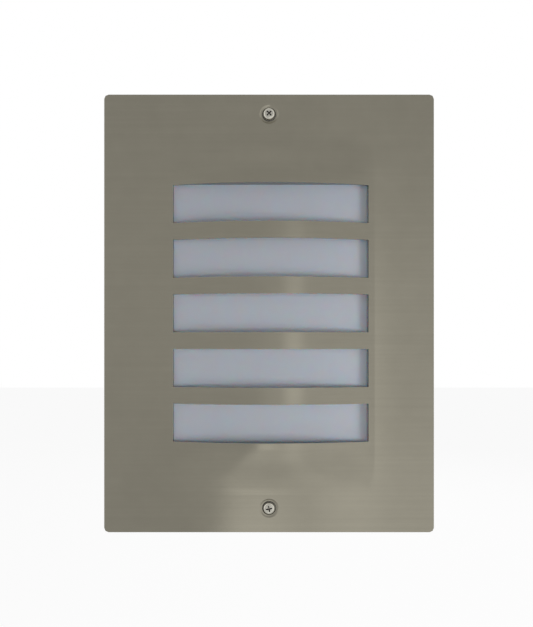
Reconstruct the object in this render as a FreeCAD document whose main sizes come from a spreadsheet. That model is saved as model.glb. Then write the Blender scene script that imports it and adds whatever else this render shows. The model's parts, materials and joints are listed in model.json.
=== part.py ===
import FreeCAD, Part
import math
import os
from types import SimpleNamespace

import Sketcher
from FreeCAD import Placement, Rotation, Vector

# A recessed step light. A stainless front plate with a bowed, slotted middle closes a cast box
# that is built into the wall and holds a screw-in lamp behind an opal sheet.
# Millimetres. +X is to the right, +Y goes into the wall, +Z is up. The origin lies on the wall's
# surface, behind the middle of the plate, so the cast flange's back face is at y = 0.

SIZES = {
    # how far a cutter runs past the face it opens, and a screw's end stays off the hole's bottom
    "overcut": 1,
    "screw_end_gap": 1,
    # slots and the bowed middle of the plate
    "slot_width": 134,
    "slot_height": 26,
    "slot_pitch": 37.4,
    "slot_count": 5,
    "slots_right_of_middle": 1.2,
    "bow_rise": 8,
    "bow_beyond_slot": 1.5,
    "bow_fade": 36,
    # plate outline, and how far each part reaches past the one inside it
    "plate_sheet": 1.2,
    "plate_corner": 3,
    "plate_past_flange_side": 10,
    "flange_past_box_side": 15,
    "plate_past_screw": 15,
    "screw_past_box": 12,
    "flange_past_screw": 11,
    "screws_above_middle": 1.5,
    # pressed dimples, cover screws and their captive seals
    "dimple_radius": 6,
    "dimple_floor_radius": 4.9,
    "dimple_depth": 1.2,
    "cover_hole_radius": 2.3,
    "cover_screw_radius": 1.95,
    "cover_screw_length": 16,
    "cover_head_radius": 4,
    "cover_head_height": 2.4,
    "cover_head_round": 1.7,
    "drive_reach": 2.2,
    "drive_width": 1.1,
    "drive_depth": 1.5,
    "upper_drive_turn": 45,
    "lower_drive_turn": 15,
    "screw_seal_radius": 4.4,
    "screw_seal_bore": 2.05,
    "screw_seal_sheet": 0.8,
    # plate gasket
    "gasket_sheet": 2,
    "gasket_inset": 1,
    "gasket_lap": 2,
    "gasket_hole_radius": 7,
    # opal sheet, its seal, frame, studs and nuts
    "diffuser_lap": 7,
    "diffuser_sheet": 3,
    "diffuser_corner": 2,
    "seal_strip": 5.5,
    "seal_sheet": 2.5,
    "frame_band": 9,
    "frame_lap": 5,
    "frame_sheet": 1,
    "frame_rim": 4,
    "stud_from_diffuser": 4,
    "stud_from_frame_end": 14,
    "stud_radius": 1.5,
    "stud_length": 9.5,
    "stud_foot_radius": 2.2,
    "stud_foot_sheet": 0.5,
    "stud_hole_radius": 1.7,
    "frame_nut_flats": 5.5,
    "frame_nut_bore": 1.55,
    "frame_nut_sheet": 2.4,
    # cast box
    "frame_clearance": 2.5,
    "frame_end_room": 16.7,
    "box_wall": 2.5,
    "box_back": 3,
    "box_taper": 2.4,
    "box_corner": 12,
    "box_edge_bevel": 3,
    "flange_sheet": 2.5,
    "flange_corner": 8,
    "rib_reach": 3,
    "rib_sheet": 2.4,
    "boss_radius": 5.5,
    "boss_depth": 14,
    "boss_web": 3,
    "tapped_radius": 2,
    "tapped_depth": 12,
    "pad_height": 6,
    "pad_radius": 5,
    "fixing_from_side": 15.5,
    "fixing_from_end": 40.5,
    "fixing_hole_radius": 2.6,
    "fixing_pad_radius": 6.5,
    "fixing_pad_height": 1.5,
    "entry_from_side": 40.5,
    "entry_depth": 45,
    "entry_boss_radius": 15,
    "entry_boss_inside": 2,
    "entry_boss_outside": 4.5,
    "entry_hole_radius": 10.2,
    # reflector and the pan-head screws inside the box
    "lamp_front_room": 12,
    "lamp_back_room": 8.2,
    "reflector_sheet": 0.8,
    "reflector_back_half": 40,
    "reflector_wing_half": 58,
    "reflector_wing_depth": 51,
    "reflector_from_lamp_low": 7,
    "reflector_top_room": 20.5,
    "reflector_screw_half": 28,
    "reflector_screw_height": 20,
    "pan_head_radius": 3.5,
    "pan_head_height": 2.2,
    "pan_head_round": 1.4,
    "pan_shank_length": 7,
    "clearance_hole_radius": 2.2,
    # bracket and lampholder
    "wiring_height": 37,
    "bracket_sheet": 1.5,
    "bracket_bend": 2.5,
    "bracket_half_width": 20,
    "bracket_leg": 28.5,
    "bracket_front_reach": 21,
    "bracket_screw_half": 12,
    "bracket_screw_rise": 10,
    "holder_radius": 20,
    "holder_height": 36.5,
    "holder_base": 10,
    "holder_bore": 14.5,
    "holder_chamfer": 1.5,
    "holder_screw_half": 11,
    "small_screw_radius": 1.5,
    "small_hole_radius": 1.55,
    "small_head_radius": 2.8,
    "small_head_height": 2,
    "small_head_round": 1.1,
    "holder_screw_grip": 7,
    "lead_hole_radius": 1.6,
    "lead_hole_half": 4,
    "lead_hole_rise": 5,
    "lead_grip": 6,
    "shell_sheet": 0.5,
    "shell_clearance": 0.2,
    "shell_top_room": 1,
    "contact_strip": 6,
    "contact_sheet": 0.5,
    "contact_rise": 3,
    # screw-in lamp
    "bulb_radius": 30,
    "bulb_wall": 1.2,
    "bulb_seat": 16,
    "lamp_length": 107,
    "cap_radius": 13.2,
    "cap_hole_radius": 9.24,
    "cap_sheet": 0.5,
    "cap_length": 20,
    "cap_gap": 0.1,
    "insulator_height": 3,
    "insulator_low_radius": 6,
    "lamp_contact_radius": 5,
    "lamp_contact_height": 2,
    "lamp_neck_radius": 14.5,
    "lamp_waist_radius": 15.5,
    "lamp_waist_rise": 5,
    # terminal block, clamps and screws
    "block_from_side": 40.5,
    "block_pitch": 11,
    "block_end": 1,
    "block_rise": 16.5,
    "block_height": 20,
    "block_depth": 16,
    "block_shoulder": 4,
    "block_shoulder_depth": 5,
    "clamp_radius": 2.9,
    "clamp_bore": 1.9,
    "clamp_inset": 1.5,
    "clamp_clearance": 0.1,
    "clamp_screw_half": 3.4,
    "clamp_screw_radius": 1.7,
    "clamp_screw_inset": 1,
    "clamp_screw_length": 5.4,
    # earth terminal and leads
    "earth_from_middle": 38,
    "tag_sheet": 0.8,
    "tag_radius": 4.5,
    "tag_barrel_radius": 1.9,
    "tag_barrel_bore": 1.4,
    "tag_barrel_start": 3.8,
    "tag_barrel_length": 7,
    "lead_radius": 1.3,
    "lead_rise": 6,
    # cable gland and blanking plug
    "thread_radius": 10,
    "thread_length": 14,
    "washer_radius": 13,
    "washer_sheet": 1,
    "gland_flats": 24,
    "gland_hex": 5,
    "gland_spigot_radius": 9,
    "gland_spigot": 8,
    "gland_bore": 6.6,
    "locknut_flats": 26,
    "locknut_bore": 10.1,
    "locknut_sheet": 5,
    "cable_radius": 4.5,
    "cable_seal_radius": 6.5,
    "cable_seal_length": 10.5,
    "gland_nut_gap": 0.5,
    "gland_nut_length": 8.5,
    "gland_shoulder": 1,
    "gland_shoulder_drop": 2,
    "gland_dome": 7,
    "gland_dome_radius": 8,
    "gland_mouth_radius": 6,
    "plug_head": 3.5,
    "plug_bore": 7.5,
    "plug_floor": 2,
    "plug_bevel": 1,
    "plug_slot": 2.4,
}

doc = FreeCAD.newDocument("step_light")
sheet = doc.addObject("Spreadsheet::Sheet", "Dims")
for row, (alias, number) in enumerate(SIZES.items(), start=1):
    sheet.set(f"A{row}", alias)
    sheet.set(f"B{row}", str(number))
    sheet.setAlias(f"B{row}", alias)
doc.recompute()


class Size:
    """A number kept together with the sheet expression that gives it."""

    def __init__(self, value, text):
        self.value = value
        self.text = text

    def __float__(self):
        return float(self.value)

    def __neg__(self):
        return Size(-self.value, f"(0 - {self.text})")

    def __add__(self, other):
        other = as_size(other)
        return Size(self.value + other.value, f"({self.text} + {other.text})")

    def __sub__(self, other):
        other = as_size(other)
        return Size(self.value - other.value, f"({self.text} - {other.text})")

    def __rsub__(self, other):
        return as_size(other) - self

    def __mul__(self, other):
        other = as_size(other)
        return Size(self.value * other.value, f"({self.text} * {other.text})")

    def __truediv__(self, other):
        other = as_size(other)
        return Size(self.value / other.value, f"({self.text} / {other.text})")

    __radd__ = __add__
    __rmul__ = __mul__


def as_size(number):
    return number if isinstance(number, Size) else Size(float(number), f"({float(number)!r})")


size = SimpleNamespace(**{name: Size(float(sheet.get(name)), f"Dims.{name}") for name in SIZES})

# ---- sketches -------------------------------------------------------------------------------


def new_body(label, x=0, y=0, z=0, turn=None):
    """An empty body whose own origin lies at (x, y, z), turned about Y when asked."""
    body = doc.addObject("PartDesign::Body", label)
    body.Label = label
    angle = float(turn) if turn is not None else 0.0
    body.Placement = Placement(Vector(float(x), float(y), float(z)), Rotation(Vector(0, 1, 0), angle))
    for axis, place in (("x", x), ("y", y), ("z", z)):
        body.setExpression(f"Placement.Base.{axis}", as_size(place).text)
    if turn is not None:
        body.setExpression("Placement.Rotation.Angle", as_size(turn).text)
    return body


def new_sketch(body, role, offset):
    """A sketch on one of the body's own planes, moved along that plane's normal."""
    plane = next(item for item in body.Origin.OriginFeatures if item.Role == role)
    sketch = body.newObject("Sketcher::SketchObject", f"{body.Name}_sketch")
    sketch.AttachmentSupport = [(plane, "")]
    sketch.MapMode = "FlatFace"
    offset = as_size(offset)
    sketch.AttachmentOffset = Placement(Vector(0, 0, float(offset)), Rotation())
    sketch.setExpression("AttachmentOffset.Base.z", offset.text)
    return sketch


def fix_point(sketch, edge, end, u, v):
    """Holds a point of the sketch at (u, v)."""
    for kind, place in (("DistanceX", as_size(u)), ("DistanceY", as_size(v))):
        number = sketch.addConstraint(Sketcher.Constraint(kind, -1, 1, edge, end, float(place)))
        sketch.setExpression(f"Constraints[{number}]", place.text)


def draw_outline(sketch, points):
    """A closed outline of straight lines through points."""
    first = sketch.GeometryCount
    corners = [Vector(float(u), float(v), 0) for u, v in points]
    for number, corner in enumerate(corners):
        following = (number + 1) % len(corners)
        sketch.addGeometry(Part.LineSegment(corner, corners[following]))
    for number, (u, v) in enumerate(points):
        following = first + (number + 1) % len(points)
        sketch.addConstraint(Sketcher.Constraint("Coincident", first + number, 2, following, 1))
        fix_point(sketch, first + number, 1, u, v)


def draw_rectangle(sketch, width, height, u=0, v=0):
    """A rectangle about (u, v)."""
    left, right = u - width / 2, u + width / 2
    low, high = v - height / 2, v + height / 2
    draw_outline(sketch, [(left, low), (right, low), (right, high), (left, high)])


def draw_circle(sketch, radius, u=0, v=0):
    """A circle about (u, v)."""
    centre = Vector(float(u), float(v), 0)
    edge = sketch.addGeometry(Part.Circle(centre, Vector(0, 0, 1), float(radius)))
    fix_point(sketch, edge, 3, u, v)
    number = sketch.addConstraint(Sketcher.Constraint("Radius", edge, float(radius)))
    sketch.setExpression(f"Constraints[{number}]", as_size(radius).text)


def draw_hexagon(sketch, flats, u=0, v=0):
    """A hexagon about (u, v) with two corners level with it; flats is its width across flats."""
    reach = flats / math.sqrt(3)
    turns = ((1, 0), (0.5, 0.5), (-0.5, 0.5), (-1, 0), (-0.5, -0.5), (0.5, -0.5))
    draw_outline(sketch, [(reach * across + u, flats * up + v) for across, up in turns])


def draw_cross(sketch, reach, width):
    """A plus sign about the origin."""
    half = width / 2
    arm = [(reach, -half), (reach, half), (half, half)]
    points = []
    for _ in range(4):
        points += arm
        arm = [(-v, u) for u, v in arm]
    draw_outline(sketch, points)


def draw_rounded(sketch, width, height, corner, u=0, v=0):
    """A rectangle about (u, v) with four equal round corners."""
    left, right = u - width / 2, u + width / 2
    low, high = v - height / 2, v + height / 2
    x0, x1, z0, z1, radius = (float(place) for place in (left, right, low, high, corner))
    first = sketch.GeometryCount
    sides = (
        ((x0 + radius, z0), (x1 - radius, z0)),
        ((x1, z0 + radius), (x1, z1 - radius)),
        ((x1 - radius, z1), (x0 + radius, z1)),
        ((x0, z1 - radius), (x0, z0 + radius)),
    )
    for start, end in sides:
        sketch.addGeometry(Part.LineSegment(Vector(*start, 0), Vector(*end, 0)))
    centres = ((x1 - radius, z0 + radius), (x1 - radius, z1 - radius))
    centres += ((x0 + radius, z1 - radius), (x0 + radius, z0 + radius))
    for number, centre in enumerate(centres):
        circle = Part.Circle(Vector(*centre, 0), Vector(0, 0, 1), radius)
        begin = (number - 1) * math.pi / 2
        sketch.addGeometry(Part.ArcOfCircle(circle, begin, begin + math.pi / 2))
    for number in range(4):
        side, arc, following = first + number, first + 4 + number, first + (number + 1) % 4
        kind = "Horizontal" if number % 2 == 0 else "Vertical"
        sketch.addConstraint(Sketcher.Constraint(kind, side))
        sketch.addConstraint(Sketcher.Constraint("Tangent", side, 2, arc, 1))
        sketch.addConstraint(Sketcher.Constraint("Tangent", arc, 2, following, 1))
        if number:
            sketch.addConstraint(Sketcher.Constraint("Equal", first + 4, arc))
    holds = [Sketcher.Constraint("Radius", first + 4, radius)]
    holds += [Sketcher.Constraint("DistanceY", -1, 1, first, 1, z0)]
    holds += [Sketcher.Constraint("DistanceX", -1, 1, first + 1, 1, x1)]
    holds += [Sketcher.Constraint("DistanceY", -1, 1, first + 2, 1, z1)]
    holds += [Sketcher.Constraint("DistanceX", -1, 1, first + 3, 1, x0)]
    for hold, place in zip(holds, (as_size(corner), low, right, high, left)):
        number = sketch.addConstraint(hold)
        sketch.setExpression(f"Constraints[{number}]", place.text)


# ---- features -------------------------------------------------------------------------------

PLANES = {"x": "YZ_Plane", "y": "XZ_Plane", "z": "XY_Plane"}


def draw_all(sketch, outlines):
    for draw, *values in outlines:
        draw(sketch, *values)


def pad(body, axis, start, end, *outlines):
    """Adds the outlines' inside between two places along an axis, start below end."""
    start, end = as_size(start), as_size(end)
    # the XZ plane's normal points along -Y, so a pad there starts from its far end
    offset = -end if axis == "y" else start
    sketch = new_sketch(body, PLANES[axis], offset)
    draw_all(sketch, outlines)
    feature = body.newObject("PartDesign::Pad", f"{body.Name}_pad")
    feature.Profile = sketch
    feature.setExpression("Length", (end - start).text)
    doc.recompute()
    return feature


def cut(body, axis, start, end, *outlines):
    """Takes the outlines' inside away between two places along an axis, start below end."""
    start, end = as_size(start), as_size(end)
    before = body.Shape.Volume
    offset = -start if axis == "y" else end
    sketch = new_sketch(body, PLANES[axis], offset)
    draw_all(sketch, outlines)
    feature = body.newObject("PartDesign::Pocket", f"{body.Name}_pocket")
    feature.Profile = sketch
    feature.setExpression("Length", (end - start).text)
    doc.recompute()
    if not body.Shape.Volume < before:
        raise RuntimeError(f"a pocket of {body.Label} cuts nothing")
    return feature


def spin(body, axis, points):
    """Turns a closed outline of (radius, place along the axis) once round that axis."""
    sketch = new_sketch(body, "XY_Plane" if axis == "y" else "XZ_Plane", 0)
    draw_outline(sketch, points)
    feature = body.newObject("PartDesign::Revolution", f"{body.Name}_turned")
    feature.Profile = sketch
    feature.ReferenceAxis = (sketch, ["V_Axis"])
    feature.Angle = 360
    doc.recompute()
    return feature


def loft(body, kind, depths, outlines):
    """A ruled loft through one outline at each depth."""
    sketches = []
    for depth, outline in zip(depths, outlines):
        sketch = new_sketch(body, "XZ_Plane", -as_size(depth))
        draw_all(sketch, [outline])
        sketches.append(sketch)
    feature = body.newObject(f"PartDesign::{kind}", f"{body.Name}_loft")
    feature.Profile = sketches[0]
    feature.Sections = sketches[1:]
    feature.Ruled = True
    doc.recompute()
    return feature


def soften(body, kind, amount, wanted):
    """Fillets or chamfers the edges of the body's last feature for which wanted is true."""
    base = body.Tip
    names = [f"Edge{n}" for n, edge in enumerate(base.Shape.Edges, start=1) if wanted(edge)]
    feature = body.newObject(f"PartDesign::{kind}", f"{body.Name}_{kind.lower()}")
    feature.Base = (base, names)
    feature.setExpression("Radius" if kind == "Fillet" else "Size", as_size(amount).text)
    doc.recompute()
    return feature


def ring_at(radius, axis, place):
    """Is an edge the full circle of this radius about the body's axis, at this place along it?"""

    def wanted(edge):
        centre = getattr(edge.Curve, "Center", None)
        if centre is None or not edge.isClosed():
            return False
        along = centre.y if axis == "y" else centre.z
        return abs(edge.Curve.Radius - float(radius)) < 1e-4 and abs(along - float(place)) < 1e-4

    return wanted


def boolean(kind, label, base, tool):
    item = doc.addObject(f"Part::{kind}", label)
    item.Base = base
    item.Tool = tool
    item.Refine = True
    item.Label = label
    return item


def fused(label, items):
    item = doc.addObject("Part::MultiFuse", label)
    item.Shapes = items
    item.Refine = True
    item.Label = label
    return item


def group(label, items):
    """Separate solids under one name."""
    item = doc.addObject("Part::Compound", label)
    item.Links = items
    item.Label = label
    return item


def mirror_x(item):
    """The same piece on the other side of the middle plane."""
    twin = doc.addObject("Part::Mirroring", f"{item.Name}_twin")
    twin.Source = item
    twin.Normal = Vector(1, 0, 0)
    return twin


def block(label, x, y, z, width, depth, height):
    """A box with its lowest corner at (x, y, z)."""
    item = doc.addObject("Part::Box", label)
    sizes = (("Length", width), ("Width", depth), ("Height", height))
    places = (("Placement.Base.x", x), ("Placement.Base.y", y), ("Placement.Base.z", z))
    for name, length in sizes + places:
        item.setExpression(name, as_size(length).text)
    return item


# ---- places that more than one piece shares -------------------------------------------------

slots = int(size.slot_count.value)
stack_height = size.slot_height + size.slot_pitch * (slots - 1)
slots_x = size.slots_right_of_middle

diffuser_width = size.slot_width + size.diffuser_lap * 2
diffuser_height = stack_height + size.diffuser_lap * 2
frame_width = diffuser_width + size.frame_band * 2
frame_height = diffuser_height + size.frame_band * 2

mouth_width = frame_width + size.frame_clearance * 2
mouth_height = frame_height + size.frame_end_room * 2
box_width = mouth_width + size.box_wall * 2
box_height = mouth_height + size.box_wall * 2
side_wall = mouth_width / 2
floor_z = -mouth_height / 2

screw_reach = box_height / 2 + size.screw_past_box
upper_screw_z = screw_reach + size.screws_above_middle
lower_screw_z = size.screws_above_middle - screw_reach
flange_width = box_width + size.flange_past_box_side * 2
flange_height = (screw_reach + size.flange_past_screw) * 2
plate_width = flange_width + size.plate_past_flange_side * 2
plate_height = (screw_reach + size.plate_past_screw) * 2

flange_front = -size.flange_sheet
plate_back = flange_front - size.gasket_sheet
plate_front = plate_back - size.plate_sheet

lamp_y = size.lamp_front_room + size.bulb_radius
reflector_front = lamp_y + size.bulb_radius + size.lamp_back_room
pad_front = reflector_front + size.reflector_sheet
back_wall = pad_front + size.pad_height
box_depth = back_wall + size.box_back

bracket_top = floor_z + size.wiring_height + size.bracket_sheet
holder_floor = bracket_top + size.holder_base
holder_rim = bracket_top + size.holder_height
lamp_low = holder_floor + size.contact_rise
cap_low = lamp_low + size.lamp_contact_height + size.insulator_height
cap_high = cap_low + size.cap_length
bulb_z = lamp_low + size.lamp_length - size.bulb_radius
bulb_low = bulb_z - size.bulb_seat

block_x = size.block_from_side - side_wall
block_z = floor_z + size.block_rise
block_front = pad_front - size.block_depth
clamp_y = pad_front - size.block_depth / 2
earth_x = size.earth_from_middle
earth_z = block_z
bracket_screw_z = floor_z + size.wiring_height - size.bracket_leg + size.bracket_screw_rise
entry_x = side_wall - size.entry_from_side
entry_inside = mouth_height / 2 - size.entry_boss_inside
entry_outside = mouth_height / 2 + size.entry_boss_outside
fixing_x = side_wall - size.fixing_from_side
fixing_z = mouth_height / 2 - size.fixing_from_end
reflector_low = lamp_low + size.reflector_from_lamp_low
reflector_high = mouth_height / 2 - size.reflector_top_room

parts = []


# ---- front plate ----------------------------------------------------------------------------

panel_width = size.slot_width + size.bow_beyond_slot * 2
panel_height = stack_height + size.bow_fade * 2
SCREW_HEIGHTS = (("upper", upper_screw_z), ("lower", lower_screw_z))


def bowed_face(depth):
    """The bow as one spline face whose flat rim lies at a depth. Forward rise is a parabola
    across the slots, times a smooth step that dies away above and below them."""
    half_width, half_height = float(panel_width) / 2, float(panel_height) / 2
    half_stack, fade = float(stack_height) / 2, float(size.bow_fade)
    across = [(-half_width, 0), (0, 2), (half_width, 0)]
    rising = [(-half_height, 0), (-half_height + fade / 3, 0), (-half_stack - fade / 3, 1)]
    rising += [(-half_stack / 3, 1)]
    along = rising + [(-place, share) for place, share in reversed(rising)]
    middle, rise = float(slots_x), float(size.bow_rise)
    poles = []
    for x, bow in across:
        poles.append([Vector(middle + x, float(depth) - rise * bow * share, z) for z, share in along])
    knots = [-half_height, -half_stack, half_stack, half_height]
    surface = Part.BSplineSurface()
    surface.buildFromPolesMultsKnots(poles, [3, 3], [4, 2, 2, 4], [0, 1], knots, False, False, 2, 3)
    return surface.toShape()


def dimple(label, height):
    """A cone pressed into the sheet, with a flat floor and the screw's hole in its middle."""
    body = new_body(f"{label}_dimple", z=height)
    floor = plate_front + size.dimple_depth
    underside = plate_back + size.dimple_depth
    wide, narrow, hole = size.dimple_radius, size.dimple_floor_radius, size.cover_hole_radius
    points = [(wide, plate_front), (narrow, floor), (hole, floor)]
    points += [(hole, underside), (narrow, underside), (wide, plate_back)]
    spin(body, "y", points)
    return body


blank = new_body("plate_blank")
openings = [(draw_rounded, plate_width, plate_height, size.plate_corner)]
openings += [(draw_rectangle, panel_width, panel_height, slots_x, 0)]
openings += [(draw_circle, size.dimple_radius, 0, height) for _, height in SCREW_HEIGHTS]
pad(blank, "y", plate_front, plate_back, *openings)

panel = doc.addObject("Part::Feature", "bowed_panel")
panel.Shape = bowed_face(plate_front).extrude(Vector(0, float(size.plate_sheet), 0))

pressed = fused("pressed_plate", [blank, panel] + [dimple(*place) for place in SCREW_HEIGHTS])

bow_front = plate_front - size.bow_rise - size.overcut
cutters = []
for number in range(slots):
    slot_low = size.slot_pitch * (number - (slots - 1) / 2) - size.slot_height / 2
    corner = (slots_x - size.slot_width / 2, bow_front, slot_low)
    through = plate_back + size.overcut - bow_front
    cutters.append(block(f"slot_{number + 1}", *corner, size.slot_width, through, size.slot_height))
front_plate = boolean("Cut", "front_plate", pressed, group("slot_cutters", cutters))
parts.append(front_plate)

# ---- gasket between plate and flange --------------------------------------------------------

gasket = new_body("plate_gasket")
gasket_width = flange_width - size.gasket_inset * 2
gasket_height = flange_height - size.gasket_inset * 2
gasket_window = mouth_width + size.gasket_lap * 2
gasket_window_height = mouth_height + size.gasket_lap * 2
outlines = [(draw_rounded, gasket_width, gasket_height, size.flange_corner)]
outlines += [(draw_rounded, gasket_window, gasket_window_height, size.box_corner)]
outlines += [(draw_circle, size.gasket_hole_radius, 0, height) for _, height in SCREW_HEIGHTS]
pad(gasket, "y", plate_back, flange_front, *outlines)
parts.append(gasket)

# ---- opal sheet and what holds it to the plate ----------------------------------------------

diffuser_front = plate_back + size.seal_sheet
diffuser_back = diffuser_front + size.diffuser_sheet
frame_back = diffuser_back + size.frame_sheet

diffuser = new_body("diffuser")
outline = (draw_rounded, diffuser_width, diffuser_height, size.diffuser_corner, slots_x, 0)
pad(diffuser, "y", diffuser_front, diffuser_back, outline)
parts.append(diffuser)

# the seal's side strips are flat; its end strips are crowned to fill the bow behind the plate
behind_bow = doc.addObject("Part::Feature", "behind_bow")
bow_fill = float(diffuser_front - bow_front)
behind_bow.Shape = bowed_face(plate_back).extrude(Vector(0, bow_fill, 0))
side_width = (diffuser_width - panel_width) / 2
left_ends = (slots_x - diffuser_width / 2, slots_x + panel_width / 2)
low_ends = (-diffuser_height / 2, diffuser_height / 2 - size.seal_strip)
strips = []
for left, low in zip(left_ends, low_ends):
    corner = (left, plate_back, -diffuser_height / 2)
    strips.append(block("side_strip", *corner, side_width, size.seal_sheet, diffuser_height))
    corner = (slots_x - panel_width / 2, bow_front, low)
    prism = block("end_prism", *corner, panel_width, diffuser_front - bow_front, size.seal_strip)
    strips.append(boolean("Common", "end_strip", prism, behind_bow))
parts.append(fused("diffuser_seal", strips))

stud_x = diffuser_width / 2 + size.stud_from_diffuser
stud_z = frame_height / 2 - size.stud_from_frame_end
stud_places = [(slots_x + stud_x * side, stud_z * up) for side in (-1, 1) for up in (-1, 0, 1)]

frame = new_body("diffuser_frame")
window_width = diffuser_width - size.frame_lap * 2
window_height = diffuser_height - size.frame_lap * 2
frame_edge = (draw_rounded, frame_width, frame_height, size.flange_corner, slots_x, 0)
outlines = [frame_edge, (draw_rounded, window_width, window_height, size.plate_corner, slots_x, 0)]
outlines += [(draw_circle, size.stud_hole_radius, *place) for place in stud_places]
pad(frame, "y", diffuser_back, frame_back, *outlines)
rim_width = frame_width - size.frame_sheet * 2
rim_height = frame_height - size.frame_sheet * 2
rim_corner = size.flange_corner - size.frame_sheet
rim_inside = (draw_rounded, rim_width, rim_height, rim_corner, slots_x, 0)
pad(frame, "y", diffuser_back, frame_back + size.frame_rim, frame_edge, rim_inside)
parts.append(frame)

studs = new_body("diffuser_studs")
outlines = [(draw_circle, size.stud_radius, *place) for place in stud_places]
pad(studs, "y", plate_back, plate_back + size.stud_length, *outlines)
outlines = [(draw_circle, size.stud_foot_radius, *place) for place in stud_places]
pad(studs, "y", plate_back, plate_back + size.stud_foot_sheet, *outlines)
parts.append(studs)

nuts = new_body("frame_nuts")
outlines = [(draw_hexagon, size.frame_nut_flats, *place) for place in stud_places]
outlines += [(draw_circle, size.frame_nut_bore, *place) for place in stud_places]
pad(nuts, "y", frame_back, frame_back + size.frame_nut_sheet, *outlines)
parts.append(nuts)

# ---- cover screws and their captive seals ---------------------------------------------------

seal_back = plate_front + size.dimple_depth
seal_front = seal_back - size.screw_seal_sheet
DRIVE_TURNS = {"upper": size.upper_drive_turn, "lower": size.lower_drive_turn}


def cover_screw(label, height):
    """A pan-head screw with a cross recess; its head bears on the captive seal."""
    screw = new_body(f"{label}_cover_screw", z=height, turn=DRIVE_TURNS[label])
    top = seal_front - size.cover_head_height
    tip = seal_front + size.cover_screw_length
    head, shank = size.cover_head_radius, size.cover_screw_radius
    points = [(0, top), (head, top), (head, seal_front), (shank, seal_front)]
    points += [(shank, tip - shank / 2), (shank / 2, tip), (0, tip)]
    spin(screw, "y", points)
    soften(screw, "Fillet", size.cover_head_round, ring_at(head, "y", top))
    cross = (draw_cross, size.drive_reach, size.drive_width)
    cut(screw, "y", top - size.drive_depth, top + size.drive_depth, cross)
    return screw


def screw_seal(label, height):
    """A nylon washer that grips the screw and closes the hole in the dimple."""
    seal = new_body(f"{label}_screw_seal", z=height)
    wide, bore = size.screw_seal_radius, size.screw_seal_bore
    chamfer = size.screw_seal_sheet / 4
    points = [(bore, seal_front), (wide - chamfer, seal_front), (wide, seal_front + chamfer)]
    points += [(wide, seal_back), (bore, seal_back)]
    spin(seal, "y", points)
    return seal


for place in SCREW_HEIGHTS:
    parts.append(cover_screw(*place))
    parts.append(screw_seal(*place))

# ---- cast box in the wall -------------------------------------------------------------------

box = new_body("recess_box")
taper = size.box_taper * 2
front_outline = (draw_rounded, box_width, box_height, size.box_corner)
# the corners' centres stay in line, so each corner narrows as a true cone
back_corner = size.box_corner - size.box_taper
bevel = size.box_edge_bevel
before_bevel = (draw_rounded, box_width - taper, box_height - taper, back_corner)
back_width, back_height = box_width - taper - bevel * 2, box_height - taper - bevel * 2
back_outline = (draw_rounded, back_width, back_height, back_corner - bevel)
depths = (0, box_depth - bevel, box_depth)
loft(box, "AdditiveLoft", depths, (front_outline, before_bevel, back_outline))

pad(box, "y", flange_front, 0, (draw_rounded, flange_width, flange_height, size.flange_corner))
rib_width = box_width + size.rib_reach * 2 - taper
rib_height = box_height + size.rib_reach * 2 - taper
for share in (1, 2):
    depth = box_depth * share / 3
    rib = (draw_rounded, rib_width, rib_height, size.box_corner + size.rib_reach)
    pad(box, "y", depth, depth + size.rib_sheet, rib)

bosses = [(draw_circle, size.boss_radius, 0, height) for _, height in SCREW_HEIGHTS]
pad(box, "y", 0, size.boss_depth, *bosses)
webs = []
for side, (_, height) in zip((1, -1), SCREW_HEIGHTS):
    wall = (box_height / 2 - size.box_wall) * side
    webs.append((draw_rectangle, size.boss_web, (height - wall) * side, 0, (height + wall) / 2))
pad(box, "y", 0, size.boss_depth, *webs)

inner_corner = size.box_corner - size.box_wall
mouth = (draw_rounded, mouth_width, mouth_height, inner_corner)
inner_back_corner = back_corner - size.box_wall
inner_back = (draw_rounded, mouth_width - taper, mouth_height - taper, inner_back_corner)
loft(box, "SubtractiveLoft", (flange_front - size.box_wall, back_wall), (mouth, inner_back))

# pads on the back wall, which the fittings are screwed down on
bracket_pads = [(side * size.bracket_screw_half, bracket_screw_z) for side in (-1, 1)]
reflector_pads = [(side * size.reflector_screw_half, size.reflector_screw_height) for side in (-1, 1)]
tapped_pads = bracket_pads + reflector_pads + [(earth_x, earth_z)]
inside_wall = back_wall + size.box_back / 2
block_width = size.block_pitch * 3 + size.block_end * 2
outlines = [(draw_circle, size.pad_radius, *place) for place in tapped_pads]
outlines += [(draw_rectangle, block_width, size.block_height, block_x, block_z)]
pad(box, "y", pad_front, inside_wall, *outlines)
fixing_places = [(fixing_x * side, fixing_z * up) for side in (-1, 1) for up in (-1, 1)]
outlines = [(draw_circle, size.fixing_pad_radius, *place) for place in fixing_places]
pad(box, "y", back_wall - size.fixing_pad_height, inside_wall, *outlines)

# round bosses through the floor and the top, for the gland and the blanking plug
entry_boss = (draw_circle, size.entry_boss_radius, entry_x, size.entry_depth)
pad(box, "z", entry_inside, entry_outside, entry_boss)
pad(box, "z", -entry_outside, -entry_inside, entry_boss)
entry_hole = (draw_circle, size.entry_hole_radius, entry_x, size.entry_depth)
cut(box, "z", entry_inside - size.overcut, entry_outside + size.overcut, entry_hole)
cut(box, "z", -entry_outside - size.overcut, size.overcut - entry_inside, entry_hole)

holes = [(draw_circle, size.tapped_radius, 0, height) for _, height in SCREW_HEIGHTS]
cut(box, "y", flange_front, size.tapped_depth, *holes)
hole_bottom = pad_front + size.pan_shank_length
cut(box, "y", pad_front, hole_bottom, *[(draw_circle, size.tapped_radius, *p) for p in tapped_pads])
block_screws = [(block_x + size.block_pitch * side / 2, block_z) for side in (-1, 1)]
holes = [(draw_circle, size.small_hole_radius, *place) for place in block_screws]
cut(box, "y", pad_front, hole_bottom, *holes)
holes = [(draw_circle, size.fixing_hole_radius, *place) for place in fixing_places]
cut(box, "y", back_wall - size.pad_height, box_depth + size.overcut, *holes)
parts.append(box)

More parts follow.
